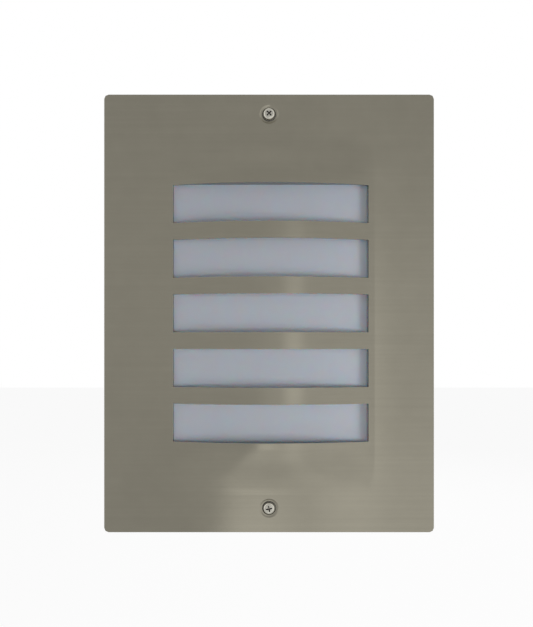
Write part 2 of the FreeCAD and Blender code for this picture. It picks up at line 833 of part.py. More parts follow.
# ---- pan-head screws ------------------------------------------------------------------------


def pan_screw(label, x, z, seat, tip, kind):
    """A small pan-head screw along Y whose head bears on the depth seat."""
    head, tall, rounding, shank = kind
    screw = new_body(label, x=x, z=z)
    top = seat - tall
    points = [(0, top), (head, top), (head, seat), (shank, seat), (shank, tip), (0, tip)]
    spin(screw, "y", points)
    soften(screw, "Fillet", rounding, ring_at(head, "y", top))
    return screw


pan_kind = (size.pan_head_radius, size.pan_head_height, size.pan_head_round, size.cover_screw_radius)
small_kind = (size.small_head_radius, size.small_head_height, size.small_head_round)
small_kind += (size.small_screw_radius,)

# ---- reflector ------------------------------------------------------------------------------

reflector = new_body("reflector")
wing_front = pad_front - size.reflector_wing_depth
back_half, wing_half = size.reflector_back_half, size.reflector_wing_half
lean = (wing_half - back_half) / (pad_front - wing_front)
inner_wing = wing_half - size.reflector_sheet
inner_half = back_half + (lean - 1) * size.reflector_sheet
points = [(-wing_half, wing_front), (-back_half, pad_front), (back_half, pad_front)]
points += [(wing_half, wing_front), (inner_wing, wing_front), (inner_half, reflector_front)]
points += [(-inner_half, reflector_front), (-inner_wing, wing_front)]
pad(reflector, "z", reflector_low, reflector_high, (draw_outline, points))
holes = [(draw_circle, size.clearance_hole_radius, *place) for place in reflector_pads]
cut(reflector, "y", reflector_front - size.overcut, pad_front + size.overcut, *holes)
parts.append(reflector)

tip = reflector_front + size.pan_shank_length
right = pan_screw("reflector_screw", *reflector_pads[1], reflector_front, tip, pan_kind)
parts.append(group("reflector_screws", [right, mirror_x(right)]))

# ---- lampholder bracket ---------------------------------------------------------------------

bracket = new_body("lampholder_bracket")
bracket_low = bracket_top - size.bracket_sheet
leg_front = pad_front - size.bracket_sheet
leg_low = bracket_low - size.bracket_leg
shelf_front = lamp_y - size.bracket_front_reach
points = [(shelf_front, bracket_low), (leg_front, bracket_low), (leg_front, leg_low)]
points += [(pad_front, leg_low), (pad_front, bracket_top), (shelf_front, bracket_top)]
half_width = size.bracket_half_width
pad(bracket, "x", -half_width, half_width, (draw_outline, points))


def bend_edge(depth, height):
    """Is an edge the bend line at this depth and height?"""

    def wanted(edge):
        box = edge.BoundBox
        level = box.YLength < 1e-6 and box.ZLength < 1e-6
        return level and abs(box.YMin - float(depth)) < 1e-4 and abs(box.ZMin - float(height)) < 1e-4

    return wanted


soften(bracket, "Fillet", size.bracket_bend, bend_edge(pad_front, bracket_top))
inside_bend = size.bracket_bend - size.bracket_sheet
soften(bracket, "Fillet", inside_bend, bend_edge(leg_front, bracket_low))
holes = [(draw_circle, size.clearance_hole_radius, *place) for place in bracket_pads]
cut(bracket, "y", leg_front - size.overcut, pad_front + size.overcut, *holes)
holder_screws = [(size.holder_screw_half * side, lamp_y) for side in (-1, 1)]
holes = [(draw_circle, size.stud_hole_radius, *place) for place in holder_screws]
cut(bracket, "z", bracket_low - size.overcut, bracket_top + size.overcut, *holes)
parts.append(bracket)

tip = leg_front + size.pan_shank_length
right = pan_screw("bracket_screw", *bracket_pads[1], leg_front, tip, pan_kind)
parts.append(group("bracket_screws", [right, mirror_x(right)]))

# ---- lampholder -----------------------------------------------------------------------------

holder = new_body("lampholder_body", y=lamp_y)
wide, bore, chamfer = size.holder_radius, size.holder_bore, size.holder_chamfer
points = [(0, bracket_top), (wide - chamfer, bracket_top), (wide, bracket_top + chamfer)]
points += [(wide, holder_rim - chamfer), (wide - chamfer, holder_rim), (bore, holder_rim)]
points += [(bore, holder_floor), (0, holder_floor)]
spin(holder, "z", points)
holes = [(draw_circle, size.small_hole_radius, size.holder_screw_half * side, 0) for side in (-1, 1)]
cut(holder, "z", bracket_top, bracket_top + size.holder_screw_grip, *holes)
lead_z = bracket_top + size.lead_hole_rise
holes = [(draw_circle, size.lead_hole_radius, size.lead_hole_half * side, lead_z) for side in (-1, 1)]
cut(holder, "x", -wide - size.overcut, size.lead_grip + size.overcut - wide, *holes)
parts.append(holder)

shell = new_body("lampholder_shell", y=lamp_y)
shell_outside = bore - size.shell_clearance
shell_inside = shell_outside - size.shell_sheet
shell_top = holder_rim - size.shell_top_room
points = [(shell_inside, holder_floor), (shell_outside, holder_floor)]
points += [(shell_outside, shell_top), (shell_inside, shell_top)]
spin(shell, "z", points)
parts.append(shell)

# a sprung strip: a flat foot, a ramp, and a flat top that the lamp's tip presses on
contact = new_body("centre_contact", y=lamp_y)
strip, ramp = size.contact_sheet, size.contact_rise
tip_reach, foot_reach = size.lamp_contact_radius, size.lamp_contact_radius * 2
points = [(-foot_reach, holder_floor), (-ramp, holder_floor), (0, lamp_low - strip)]
points += [(tip_reach, lamp_low - strip), (tip_reach, lamp_low), (-strip, lamp_low)]
points += [(-ramp - strip / 2, holder_floor + strip), (-foot_reach, holder_floor + strip)]
half_strip = size.contact_strip / 2
pad(contact, "y", -half_strip, half_strip, (draw_outline, points))
parts.append(contact)

screw = new_body("holder_screw", x=size.holder_screw_half, y=lamp_y)
head, tall, rounding, shank = small_kind
head_low = bracket_low - tall
tip = bracket_top + size.holder_screw_grip - size.screw_end_gap
points = [(0, head_low), (head, head_low), (head, bracket_low), (shank, bracket_low)]
points += [(shank, tip), (0, tip)]
spin(screw, "z", points)
soften(screw, "Fillet", rounding, ring_at(head, "z", head_low))
parts.append(group("lampholder_screws", [screw, mirror_x(screw)]))

# ---- lamp -----------------------------------------------------------------------------------

tip_contact = new_body("lamp_contact", y=lamp_y)
insulator_low = lamp_low + size.lamp_contact_height
solder_round = size.lamp_contact_height / 2
points = [(0, lamp_low), (tip_reach - solder_round, lamp_low), (tip_reach, lamp_low + solder_round)]
points += [(tip_reach, insulator_low), (0, insulator_low)]
spin(tip_contact, "z", points)
parts.append(tip_contact)

cap_floor = cap_low + size.cap_sheet
cap_hole = size.cap_hole_radius
insulator = new_body("lamp_insulator", y=lamp_y)
disc = cap_hole - size.cap_gap
points = [(0, insulator_low), (size.insulator_low_radius, insulator_low), (disc, cap_low)]
points += [(disc, cap_floor), (0, cap_floor)]
spin(insulator, "z", points)
parts.append(insulator)

cap = new_body("lamp_cap", y=lamp_y)
cap_inside = size.cap_radius - size.cap_sheet
points = [(cap_hole, cap_low), (cap_inside, cap_low), (size.cap_radius, cap_floor)]
points += [(size.cap_radius, cap_high), (cap_inside, cap_high), (cap_inside, cap_floor)]
points += [(cap_hole, cap_floor)]
spin(cap, "z", points)
parts.append(cap)

lamp_body = new_body("lamp_body", y=lamp_y)
spigot = cap_inside - size.cap_gap
bulb_rim = math.sqrt(float(size.bulb_radius) ** 2 - float(size.bulb_seat) ** 2)
neck, waist = size.lamp_neck_radius, size.lamp_waist_radius
waist_z = cap_high + size.lamp_waist_rise
points = [(0, cap_floor), (spigot, cap_floor), (spigot, cap_high), (neck, cap_high)]
points += [(waist, waist_z), (bulb_rim, bulb_low), (0, bulb_low)]
spin(lamp_body, "z", points)
parts.append(lamp_body)

outside = doc.addObject("Part::Sphere", "bulb_outside")
outside.setExpression("Radius", size.bulb_radius.text)
inside = doc.addObject("Part::Sphere", "bulb_inside")
inside.setExpression("Radius", (size.bulb_radius - size.bulb_wall).text)
for ball in (outside, inside):
    ball.setExpression("Placement.Base.y", lamp_y.text)
    ball.setExpression("Placement.Base.z", bulb_z.text)
past_bulb = size.bulb_radius * 3
corner = (-past_bulb / 2, lamp_y - past_bulb / 2, bulb_low - past_bulb)
below = block("below_bulb", *corner, past_bulb, past_bulb, past_bulb)
hollow = boolean("Cut", "bulb_hollow", outside, inside)
parts.append(boolean("Cut", "lamp_bulb", hollow, below))

# ---- terminal block -------------------------------------------------------------------------

terminals = new_body("terminal_block")
block_low, block_high = block_z - size.block_height / 2, block_z + size.block_height / 2
shoulder, shoulder_y = size.block_shoulder, block_front + size.block_shoulder_depth
points = [(pad_front, block_low), (pad_front, block_high), (shoulder_y, block_high)]
points += [(block_front, block_high - shoulder), (block_front, block_low + shoulder)]
points += [(shoulder_y, block_low)]
block_left = block_x - block_width / 2
pad(terminals, "x", block_left, block_left + block_width, (draw_outline, points))
poles = [block_x + size.block_pitch * side for side in (-1, 0, 1)]
clamp_ways = [(draw_circle, size.clamp_radius + size.clamp_clearance, x, clamp_y) for x in poles]
cut(terminals, "z", block_low - size.overcut, block_high + size.overcut, *clamp_ways)
screw_places = [(x, block_z + size.clamp_screw_half * up) for x in poles for up in (-1, 1)]
past_front = block_front - size.overcut
screw_way = size.clamp_screw_radius + size.clamp_clearance
screw_ways = [(draw_circle, screw_way, *place) for place in screw_places]
cut(terminals, "y", past_front, clamp_y, *screw_ways)
holes = [(draw_circle, size.stud_hole_radius, *place) for place in block_screws]
cut(terminals, "y", past_front, pad_front + size.overcut, *holes)
head_seat = block_front + size.small_head_height + size.clamp_screw_inset
head_way = size.small_head_radius + size.clamp_clearance
holes = [(draw_circle, head_way, *place) for place in block_screws]
cut(terminals, "y", past_front, head_seat, *holes)
parts.append(terminals)

clamps = new_body("terminal_clamps")
outlines = [(draw_circle, size.clamp_radius, x, clamp_y) for x in poles]
outlines += [(draw_circle, size.clamp_bore, x, clamp_y) for x in poles]
clamp_high = block_high - size.clamp_inset
pad(clamps, "z", block_low + size.clamp_inset, clamp_high, *outlines)
cut(clamps, "y", clamp_y - size.clamp_radius - size.overcut, clamp_y, *screw_ways)
parts.append(clamps)

clamp_screws = new_body("terminal_screws")
clamp_screw_front = block_front + size.clamp_screw_inset
clamp_screw_tip = clamp_screw_front + size.clamp_screw_length
outlines = [(draw_circle, size.clamp_screw_radius, *place) for place in screw_places]
pad(clamp_screws, "y", clamp_screw_front, clamp_screw_tip, *outlines)
parts.append(clamp_screws)

tip = hole_bottom - size.screw_end_gap
names = ("left_block_screw", "right_block_screw")
screws = [pan_screw(n, *p, head_seat, tip, small_kind) for n, p in zip(names, block_screws)]
parts.append(group("terminal_block_screws", screws))

# ---- earth terminal -------------------------------------------------------------------------

tag = new_body("earth_tag", x=earth_x, z=earth_z)
tag_front = pad_front - size.tag_sheet
rings = [(draw_circle, size.tag_radius), (draw_circle, size.clearance_hole_radius)]
pad(tag, "y", tag_front, pad_front, *rings)
barrel_y = pad_front - size.tag_sheet / 2 - size.tag_barrel_radius
barrel_high = size.tag_barrel_start + size.tag_barrel_length
pad(tag, "z", size.tag_barrel_start, barrel_high, (draw_circle, size.tag_barrel_radius, 0, barrel_y))
grip = (draw_circle, size.tag_barrel_bore, 0, barrel_y)
barrel_stop = barrel_high - size.tag_barrel_length / 2
cut(tag, "z", barrel_stop, barrel_high + size.overcut, grip)
parts.append(tag)

tip = tag_front + size.pan_shank_length
parts.append(pan_screw("earth_screw", earth_x, earth_z, tag_front, tip, pan_kind))

# ---- leads ----------------------------------------------------------------------------------


def lead(label, points):
    """A round lead along straight runs joined by tangent arcs."""
    corners = [Vector(*(float(place) for place in point)) for point in points]
    edges = []
    start = corners[0]
    for before, corner, after in zip(corners, corners[1:], corners[2:]):
        arriving, leaving = (corner - before), (after - corner)
        setback = 0.45 * min(arriving.Length, leaving.Length)
        enter = corner - arriving.normalize() * setback
        leave = corner + leaving.normalize() * setback
        half_turn = arriving.getAngle(leaving) / 2
        radius = setback / math.tan(half_turn)
        # the arc's middle lies on the corner's bisector, short of the corner itself
        inward = (leaving - arriving).normalize()
        apex = corner + inward * (radius / math.cos(half_turn) - radius)
        edges += [Part.LineSegment(start, enter).toShape(), Part.Arc(enter, apex, leave).toShape()]
        start = leave
        print(f"{label}: bend radius {radius:.1f}")
    edges.append(Part.LineSegment(start, corners[-1]).toShape())
    route = Part.Wire(edges)
    radius = float(size.lead_radius)
    ring = Part.Wire([Part.Circle(corners[0], corners[1] - corners[0], radius).toShape()])
    item = doc.addObject("Part::Feature", label)
    item.Label = label
    item.Shape = route.makePipeShell([ring], True, False)
    share = item.Shape.Volume / (route.Length * math.pi * radius**2)
    print(f"{label}: {route.Length:.1f} mm long, {share:.4f} of section times length")
    return item


live_x, neutral_x, earth_pole_x = poles
start_z = clamp_high - size.clamp_inset
end_x = size.lead_grip - size.holder_radius
live_y, neutral_y = lamp_y - size.lead_hole_half, lamp_y + size.lead_hole_half
for label, x, y in (("live_lead", live_x, live_y), ("neutral_lead", neutral_x, neutral_y)):
    route = [(x, clamp_y, start_z), (x, clamp_y, lead_z), (x, y, lead_z), (end_x, y, lead_z)]
    parts.append(lead(label, route))

run_z = block_high + size.lead_rise
route = [(earth_pole_x, clamp_y, start_z), (earth_pole_x, clamp_y, run_z)]
route += [(earth_x - 2 * size.lead_rise, clamp_y, run_z), (earth_x, barrel_y, run_z)]
route += [(earth_x, barrel_y, earth_z + barrel_stop)]
parts.append(lead("earth_lead", route))

# ---- cable gland in the floor ---------------------------------------------------------------


def entry_ring(label, start, end, outer, inner):
    """A flat ring on the cable entries' axis."""
    ring = new_body(label, x=entry_x, y=size.entry_depth)
    pad(ring, "z", start, end, (draw_circle, outer), (draw_circle, inner))
    return ring


washer_low = -entry_outside - size.washer_sheet
washer_bore = size.entry_hole_radius + size.clamp_clearance
washer_rings = (size.washer_radius, washer_bore)
parts.append(entry_ring("gland_washer", washer_low, -entry_outside, *washer_rings))

gland = new_body("gland_body", x=entry_x, y=size.entry_depth)
hex_low = washer_low - size.gland_hex
spigot_low = hex_low - size.gland_spigot
thread_high = washer_low + size.thread_length
pad(gland, "z", hex_low, washer_low, (draw_hexagon, size.gland_flats))
pad(gland, "z", washer_low, thread_high, (draw_circle, size.thread_radius))
pad(gland, "z", spigot_low, hex_low, (draw_circle, size.gland_spigot_radius))
gland_bore = (draw_circle, size.gland_bore)
cut(gland, "z", spigot_low - size.overcut, thread_high + size.overcut, gland_bore)
parts.append(gland)

locknut = new_body("gland_locknut", x=entry_x, y=size.entry_depth)
outlines = [(draw_hexagon, size.locknut_flats), (draw_circle, size.locknut_bore)]
pad(locknut, "z", -entry_inside, size.locknut_sheet - entry_inside, *outlines)
parts.append(locknut)

nut_high = hex_low - size.gland_nut_gap
nut_low = nut_high - size.gland_nut_length
dome_low = nut_low - size.gland_dome
seal_low = nut_low + size.gland_nut_gap
seal_high = seal_low + size.cable_seal_length
parts.append(entry_ring("gland_seal", seal_low, seal_high, size.cable_seal_radius, size.cable_radius))

gland_nut = new_body("gland_nut", x=entry_x, y=size.entry_depth)
pad(gland_nut, "z", nut_low, nut_high, (draw_hexagon, size.gland_flats))
shoulder_radius = size.gland_flats / 2
shoulder_low = nut_low - size.gland_shoulder_drop
points = [(0, nut_low), (shoulder_radius, nut_low)]
points += [(shoulder_radius - size.gland_shoulder, shoulder_low)]
points += [(size.gland_dome_radius, dome_low), (0, dome_low)]
spin(gland_nut, "z", points)
nut_bore = (draw_circle, size.gland_spigot_radius + size.clamp_clearance)
cut(gland_nut, "z", nut_low, nut_high + size.overcut, nut_bore)
mouth_bore = (draw_circle, size.gland_mouth_radius)
cut(gland_nut, "z", dome_low - size.overcut, nut_low, mouth_bore)
parts.append(gland_nut)

# ---- blanking plug in the top ---------------------------------------------------------------

washer_high = entry_outside + size.washer_sheet
parts.append(entry_ring("plug_washer", entry_outside, washer_high, *washer_rings))

plug = new_body("blanking_plug", x=entry_x, y=size.entry_depth)
plug_top = washer_high + size.plug_head
plug_low = washer_high - size.thread_length
wide, thread, hollow = size.washer_radius, size.thread_radius, size.plug_bore
ceiling, bevel_low = plug_top - size.plug_floor, plug_top - size.plug_bevel
points = [(thread, plug_low), (thread, washer_high), (wide, washer_high), (wide, bevel_low)]
points += [(wide - size.plug_bevel, plug_top), (0, plug_top), (0, ceiling)]
points += [(hollow, ceiling), (hollow, plug_low)]
spin(plug, "z", points)
coin_slot = (draw_rectangle, (wide + size.overcut) * 2, size.plug_slot)
cut(plug, "z", plug_top - size.plug_floor / 2, plug_top + size.overcut, coin_slot)
parts.append(plug)

# ---- check and write ------------------------------------------------------------------------

doc.recompute()
for item in doc.Objects:
    if "Invalid" in item.State or "Error" in item.State:
        raise RuntimeError(f"{item.Label} failed")
for part in parts:
    if part.Shape.isNull() or not part.Shape.isValid():
        raise RuntimeError(f"{part.Label} has no valid shape")

os.makedirs("parts", exist_ok=True)
for part in parts:
    part.Shape.exportStep(f"parts/{part.Label}.step")
    print(f"{part.Label}: {len(part.Shape.Solids)} solids, {part.Shape.Volume:.0f} mm3")
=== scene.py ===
import json
import math

import bmesh
import bpy
import numpy as np
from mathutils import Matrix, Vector


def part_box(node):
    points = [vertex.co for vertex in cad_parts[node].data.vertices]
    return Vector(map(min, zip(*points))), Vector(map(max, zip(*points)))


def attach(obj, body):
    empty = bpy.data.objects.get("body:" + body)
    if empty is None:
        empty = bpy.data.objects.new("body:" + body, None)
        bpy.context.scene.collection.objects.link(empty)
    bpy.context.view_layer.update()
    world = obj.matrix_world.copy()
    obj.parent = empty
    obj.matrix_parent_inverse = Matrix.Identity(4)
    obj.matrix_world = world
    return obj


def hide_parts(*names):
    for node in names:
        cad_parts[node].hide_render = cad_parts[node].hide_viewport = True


# Recessed step light: a brushed steel plate with a bowed, slotted middle over an opal sheet,
# on a cast box with its lamp and wiring. Shapes are worked out in millimetres.

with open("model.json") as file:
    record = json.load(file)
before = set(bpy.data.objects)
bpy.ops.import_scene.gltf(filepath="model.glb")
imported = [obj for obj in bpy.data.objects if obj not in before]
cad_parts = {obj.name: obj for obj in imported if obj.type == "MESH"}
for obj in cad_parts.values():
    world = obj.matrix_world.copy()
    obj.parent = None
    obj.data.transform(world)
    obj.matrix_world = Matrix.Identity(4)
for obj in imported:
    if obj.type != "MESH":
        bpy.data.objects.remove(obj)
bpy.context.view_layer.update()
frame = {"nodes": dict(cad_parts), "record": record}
cadNodes = frame["nodes"]
mm = 0.001
print("frame loaded:", len(cadNodes), "nodes")


def boxOf(node):
    # lowest and highest corner of a CAD node, in millimetres
    low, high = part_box(node)
    return np.array(low) / mm, np.array(high) / mm


# shading: small helpers for node trees


def newNode(tree, kind, values=None, **settings):
    # one node with its sockets' values and its settings
    node = tree.nodes.new(kind)
    for name, value in settings.items():
        setattr(node, name, value)
    for name, value in (values or {}).items():
        node.inputs[name].default_value = value
    return node


def join(tree, *pairs):
    # a link from each output to its socket
    for output, socket in pairs:
        tree.links.new(output, socket)


nodeGap = 200


def layOut(tree):
    # in the editor each node stands a column left of the furthest one that it feeds, under those
    # already there
    column, taken = {node.name: 0 for node in tree.nodes}, {}
    for _ in range(len(tree.nodes)):
        for link in tree.links:
            name = link.from_node.name
            column[name] = max(column[name], column[link.to_node.name] + 1)
    for name, place in column.items():
        taken[place] = taken.get(place, 0) + 1
        tree.nodes[name].location = (-nodeGap * place, -nodeGap * taken[place])


def fill(tree, socket, value):
    # a socket gets a link, a number or a colour without its fourth number
    if isinstance(value, bpy.types.NodeSocket):
        tree.links.new(value, socket)
    else:
        socket.default_value = (*value, 1.0) if isinstance(value, tuple) else value


def math2(tree, operation, first, second, clamp=False):
    # one Math node; each side is a socket or a number
    node = newNode(tree, "ShaderNodeMath", operation=operation, use_clamp=clamp)
    for socket, value in zip(node.inputs, (first, second)):
        fill(tree, socket, value)
    return node.outputs[0]


def times(tree, first, second, clamp=False):
    # the product
    return math2(tree, "MULTIPLY", first, second, clamp)


def plus(tree, first, second, clamp=False):
    # the sum
    return math2(tree, "ADD", first, second, clamp)


def noiseAt(tree, vector, scale, detail, roughness=0.5):
    # a cloudy noise from 0 to 1; the scale is a socket or a number
    node = newNode(tree, "ShaderNodeTexNoise", {"Detail": detail, "Roughness": roughness})
    join(tree, (vector, node.inputs["Vector"]))
    fill(tree, node.inputs["Scale"], scale)
    return node.outputs[0]


def newGroup(name, inputs, outputs):
    # an empty shader group, whose sockets are numbers unless their name is one of a vector's
    tree = bpy.data.node_groups.new(name, "ShaderNodeTree")
    for labels, side in ((inputs, "INPUT"), (outputs, "OUTPUT")):
        for label in labels:
            kind = "Vector" if label in ("Vector", "Lines", "Normal") else "Float"
            tree.interface.new_socket(label, in_out=side, socket_type=f"NodeSocket{kind}")
    start, end = newNode(tree, "NodeGroupInput"), newNode(tree, "NodeGroupOutput")
    return tree, start.outputs, end.inputs


def makeSmudgeGroup():
    # slow cloudy variation: the sum of two noises less one, times the amount; the mask adds a half
    tree, given, wanted = newGroup(
        "cloudySmudge", ["Vector", "Scale", "Amount"], ["Mask", "Signed"])
    vector, scale, finer = given["Vector"], given["Scale"], 5.3
    broad = noiseAt(tree, vector, scale=scale, detail=3.0, roughness=0.55)
    fine = noiseAt(tree, vector, scale=times(tree, scale, finer), detail=2.0, roughness=0.6)
    centred = math2(tree, "SUBTRACT", plus(tree, broad, fine), 1.0)
    signed = times(tree, centred, given["Amount"])
    mask = plus(tree, signed, 0.5, clamp=True)
    join(tree, (signed, wanted["Signed"]), (mask, wanted["Mask"]))
    return tree


def makeBrushGroup():
    # brushed grain: noise of the place times the lines, so it draws out along the smallest of them;
    # height is a fine noise, streaks a wider one less a half
    tree, given, wanted = newGroup("brushedGrain", ["Vector", "Lines"], ["Height", "Streaks"])
    drawn = newNode(tree, "ShaderNodeVectorMath", operation="MULTIPLY")
    join(tree, *zip((given["Vector"], given["Lines"]), drawn.inputs))
    height = noiseAt(tree, drawn.outputs[0], scale=1.0, detail=3.0, roughness=0.7)
    wider = noiseAt(tree, drawn.outputs[0], scale=0.22, detail=2.0, roughness=0.6)
    streaks = math2(tree, "SUBTRACT", wider, 0.5)
    join(tree, (height, wanted["Height"]), (streaks, wanted["Streaks"]))
    return tree


def makeWearGroup():
    # edge wear: one less the dot product of a rounded corner's normal and the true one, times noise
    tree, given, wanted = newGroup("edgeWear", ["Vector", "Radius"], ["Mask", "Normal"])
    rounded = newNode(tree, "ShaderNodeBevel", samples=4)
    join(tree, (given["Radius"], rounded.inputs["Radius"]))
    true = newNode(tree, "ShaderNodeNewGeometry").outputs["Normal"]
    likeness = newNode(tree, "ShaderNodeVectorMath", operation="DOT_PRODUCT")
    join(tree, *zip((rounded.outputs[0], true), likeness.inputs))
    turn = math2(tree, "SUBTRACT", 1.0, likeness.outputs["Value"])
    chips, strength = noiseAt(tree, given["Vector"], scale=900.0, detail=3.0), 9.0
    mask = times(tree, turn, times(tree, chips, strength), clamp=True)
    join(tree, (mask, wanted["Mask"]), (rounded.outputs[0], wanted["Normal"]))
    return tree


def makeGritGroup():
    # moulded or cast skin: the distance to rounded cells times the pits, plus a fine noise
    tree, given, wanted = newGroup("mouldedGrit", ["Vector", "Scale", "Pits"], ["Height"])
    cells = newNode(tree, "ShaderNodeTexVoronoi", feature="SMOOTH_F1")
    join(tree, *((given[label], cells.inputs[label]) for label in ("Vector", "Scale")))
    pits = times(tree, cells.outputs["Distance"], given["Pits"])
    fine = noiseAt(tree, given["Vector"], scale=given["Scale"], detail=4.0, roughness=0.65)
    height = plus(tree, pits, fine)
    join(tree, (height, wanted["Height"]))
    return tree


def makeShadeDirtGroup():
    # painted shade and dirt in corners: how hidden a place is, steepened by a ramp, times noise
    # plus the least share
    tree, given, wanted = newGroup("recessShadeAndDirt", ["Vector", "Reach"], ["Mask"])
    hidden = newNode(tree, "ShaderNodeAmbientOcclusion", samples=6, only_local=True)
    join(tree, (given["Reach"], hidden.inputs["Distance"]))
    covered = newNode(tree, "ShaderNodeMapRange", {"From Min": 0.72, "From Max": 0.38})
    join(tree, (hidden.outputs["AO"], covered.inputs["Value"]))
    specks, least = noiseAt(tree, given["Vector"], scale=1400.0, detail=3.0), 0.45
    specks = plus(tree, specks, least, clamp=True)
    join(tree, (times(tree, covered.outputs["Result"], specks, clamp=True), wanted["Mask"]))
    return tree


groups = {
    "shadeDirt": makeShadeDirtGroup(), "smudge": makeSmudgeGroup(), "brush": makeBrushGroup(),
    "wear": makeWearGroup(), "grit": makeGritGroup(),
}
for group in groups.values():
    layOut(group)


def placeGroup(tree, name, vector, **values):
    # a shared group with its vector linked and its other sockets set
    node = newNode(tree, "ShaderNodeGroup", values, node_tree=groups[name])
    join(tree, (vector, node.inputs["Vector"]))
    return node.outputs


# what finishes of one kind share; the pvc sleeves of the three leads share more
moulded = dict(kind="moulded", spread=0.1, wear=0.0003)
turned = dict(kind="turned", metal=1.0, spread=0.16, wear=0.0002)
sleeve = dict(moulded, roughness=0.4, grit=1600, pits=0.2, bump=0.05, clouds=140, wear=0.0001)

# every finish: two colours that a cloudy mask blends, a worn colour for edges, and its own surface
finishes = {
    "brushed_stainless": dict(
        kind="brushed", colour=(0.247, 0.232, 0.186), other=(0.273, 0.257, 0.207),
        worn=(0.36, 0.35, 0.31), roughness=0.165, spread=0.03, metal=1.0, anisotropic=0.89,
        lines=(22, 900, 2600), bump=0.04, clouds=16, wear=0.00025, streak=0.55,
    ),
    "stainless_screw": dict(
        turned, colour=(0.50, 0.485, 0.425), other=(0.43, 0.415, 0.365), worn=(0.66, 0.65, 0.60),
        roughness=0.22, spread=0.12, lines=(900, 900, 900), bump=0.05, clouds=240,
        # after the wear, how far the painted shade and dirt in the recess looks for cover, in
        # metres
        wear=0.00015, shadeDirt=0.0016,
    ),
    "smoked_nylon": dict(
        moulded, colour=(0.070, 0.066, 0.058), other=(0.088, 0.083, 0.073),
        worn=(0.13, 0.12, 0.11), roughness=0.5, spread=0.12, grit=2600, pits=0.2, bump=0.1,
        clouds=260, wear=0.0002,
    ),
    "black_rubber": dict(
        moulded, colour=(0.012, 0.012, 0.012), other=(0.022, 0.022, 0.021),
        worn=(0.05, 0.05, 0.048), roughness=0.72, spread=0.14, grit=1900, pits=0.7, bump=0.22,
        clouds=45,
    ),
    "grey_silicone": dict(
        moulded, colour=(0.145, 0.150, 0.156), other=(0.175, 0.178, 0.182),
        worn=(0.26, 0.26, 0.26), roughness=0.6, grit=1500, pits=0.9, bump=0.2, clouds=60,
    ),
    "opal_acrylic": dict(
        moulded, colour=(0.376, 0.399, 0.446), other=(0.366, 0.389, 0.436), worn=(0.5, 0.52, 0.56),
        roughness=0.34, spread=0.05, grit=3000, pits=0.1, bump=0.015, clouds=9, wear=0.0002,
        subsurface=0.8, soak=0.003,
    ),
    "zinc_steel": dict(
        turned, colour=(0.56, 0.57, 0.59), other=(0.44, 0.46, 0.50), worn=(0.72, 0.72, 0.73),
        roughness=0.3, spread=0.2, anisotropic=0.2, lines=(260, 900, 1400), bump=0.06,
        clouds=160, wear=0.0003,
    ),
    "cast_aluminium": dict(
        moulded, colour=(0.42, 0.425, 0.43), other=(0.395, 0.40, 0.407), worn=(0.62, 0.62, 0.61),
        roughness=0.52, spread=0.12, metal=1.0, grit=1100, pits=1.1, bump=0.42, clouds=11,
        wear=0.0007,
    ),
    "white_enamel": dict(
        moulded, colour=(0.78, 0.78, 0.75), other=(0.73, 0.73, 0.69), worn=(0.5, 0.5, 0.48),
        roughness=0.24, grit=420, pits=0.5, bump=0.05, clouds=18, coat=0.4,
    ),
    "white_ceramic": dict(
        moulded, colour=(0.76, 0.74, 0.67), other=(0.70, 0.67, 0.59), worn=(0.60, 0.56, 0.48),
        roughness=0.2, spread=0.12, grit=500, pits=0.6, bump=0.06, clouds=70, wear=0.0006,
        coat=0.6,
    ),
    "brass": dict(
        turned, colour=(0.62, 0.42, 0.16), other=(0.46, 0.29, 0.10), worn=(0.80, 0.62, 0.32),
        roughness=0.28, spread=0.18, anisotropic=0.2, lines=(700, 700, 1500), bump=0.06,
        clouds=150,
    ),
    "solder": dict(
        turned, colour=(0.55, 0.56, 0.56), other=(0.42, 0.43, 0.44), worn=(0.70, 0.70, 0.69),
        roughness=0.3, lines=(420, 420, 420), bump=0.14, clouds=300,
    ),
    "black_glass": dict(
        moulded, colour=(0.007, 0.007, 0.009), other=(0.014, 0.014, 0.017),
        worn=(0.04, 0.04, 0.045), roughness=0.1, spread=0.08, grit=260, pits=0.4, bump=0.03,
        clouds=120, wear=0.0002, coat=0.8,
    ),
    "nickel_cap": dict(
        turned, colour=(0.62, 0.60, 0.56), other=(0.50, 0.48, 0.45), worn=(0.78, 0.77, 0.74),
        roughness=0.22, anisotropic=0.1, lines=(300, 300, 1300), bump=0.05, clouds=90,
        wear=0.0003,
    ),
    "lamp_plastic": dict(
        moulded, colour=(0.78, 0.78, 0.76), other=(0.73, 0.73, 0.70), worn=(0.66, 0.65, 0.62),
        roughness=0.32, grit=1800, pits=0.2, bump=0.04, clouds=50, wear=0.0005,
    ),
    "opal_bulb": dict(
        moulded, colour=(0.84, 0.84, 0.81), other=(0.80, 0.80, 0.77), worn=(0.72, 0.72, 0.70),
        roughness=0.36, spread=0.06, grit=2600, pits=0.1, bump=0.02, clouds=30, wear=0.0002,
        subsurface=0.3, soak=0.006,
    ),
    "terminal_plastic": dict(
        moulded, colour=(0.70, 0.67, 0.56), other=(0.64, 0.60, 0.48), worn=(0.56, 0.53, 0.43),
        roughness=0.42, grit=1700, pits=0.4, bump=0.08, clouds=90,
    ),
    "brown_pvc": dict(
        sleeve, colour=(0.065, 0.024, 0.010), other=(0.085, 0.034, 0.016), worn=(0.15, 0.08, 0.05),
    ),
    "blue_pvc": dict(
        sleeve, colour=(0.010, 0.045, 0.260), other=(0.014, 0.062, 0.310), worn=(0.08, 0.14, 0.42),
    ),
    "green_yellow_pvc": dict(
        sleeve, colour=(0.020, 0.170, 0.028), other=(0.720, 0.560, 0.020), worn=(0.30, 0.38, 0.12),
        stripe=0.0011,
    ),
    "black_nylon": dict(
        moulded, colour=(0.014, 0.014, 0.015), other=(0.022, 0.022, 0.023),
        worn=(0.07, 0.07, 0.07), roughness=0.44, spread=0.12, grit=2000, pits=0.4, bump=0.1,
        clouds=80, wear=0.0004,
    ),
}


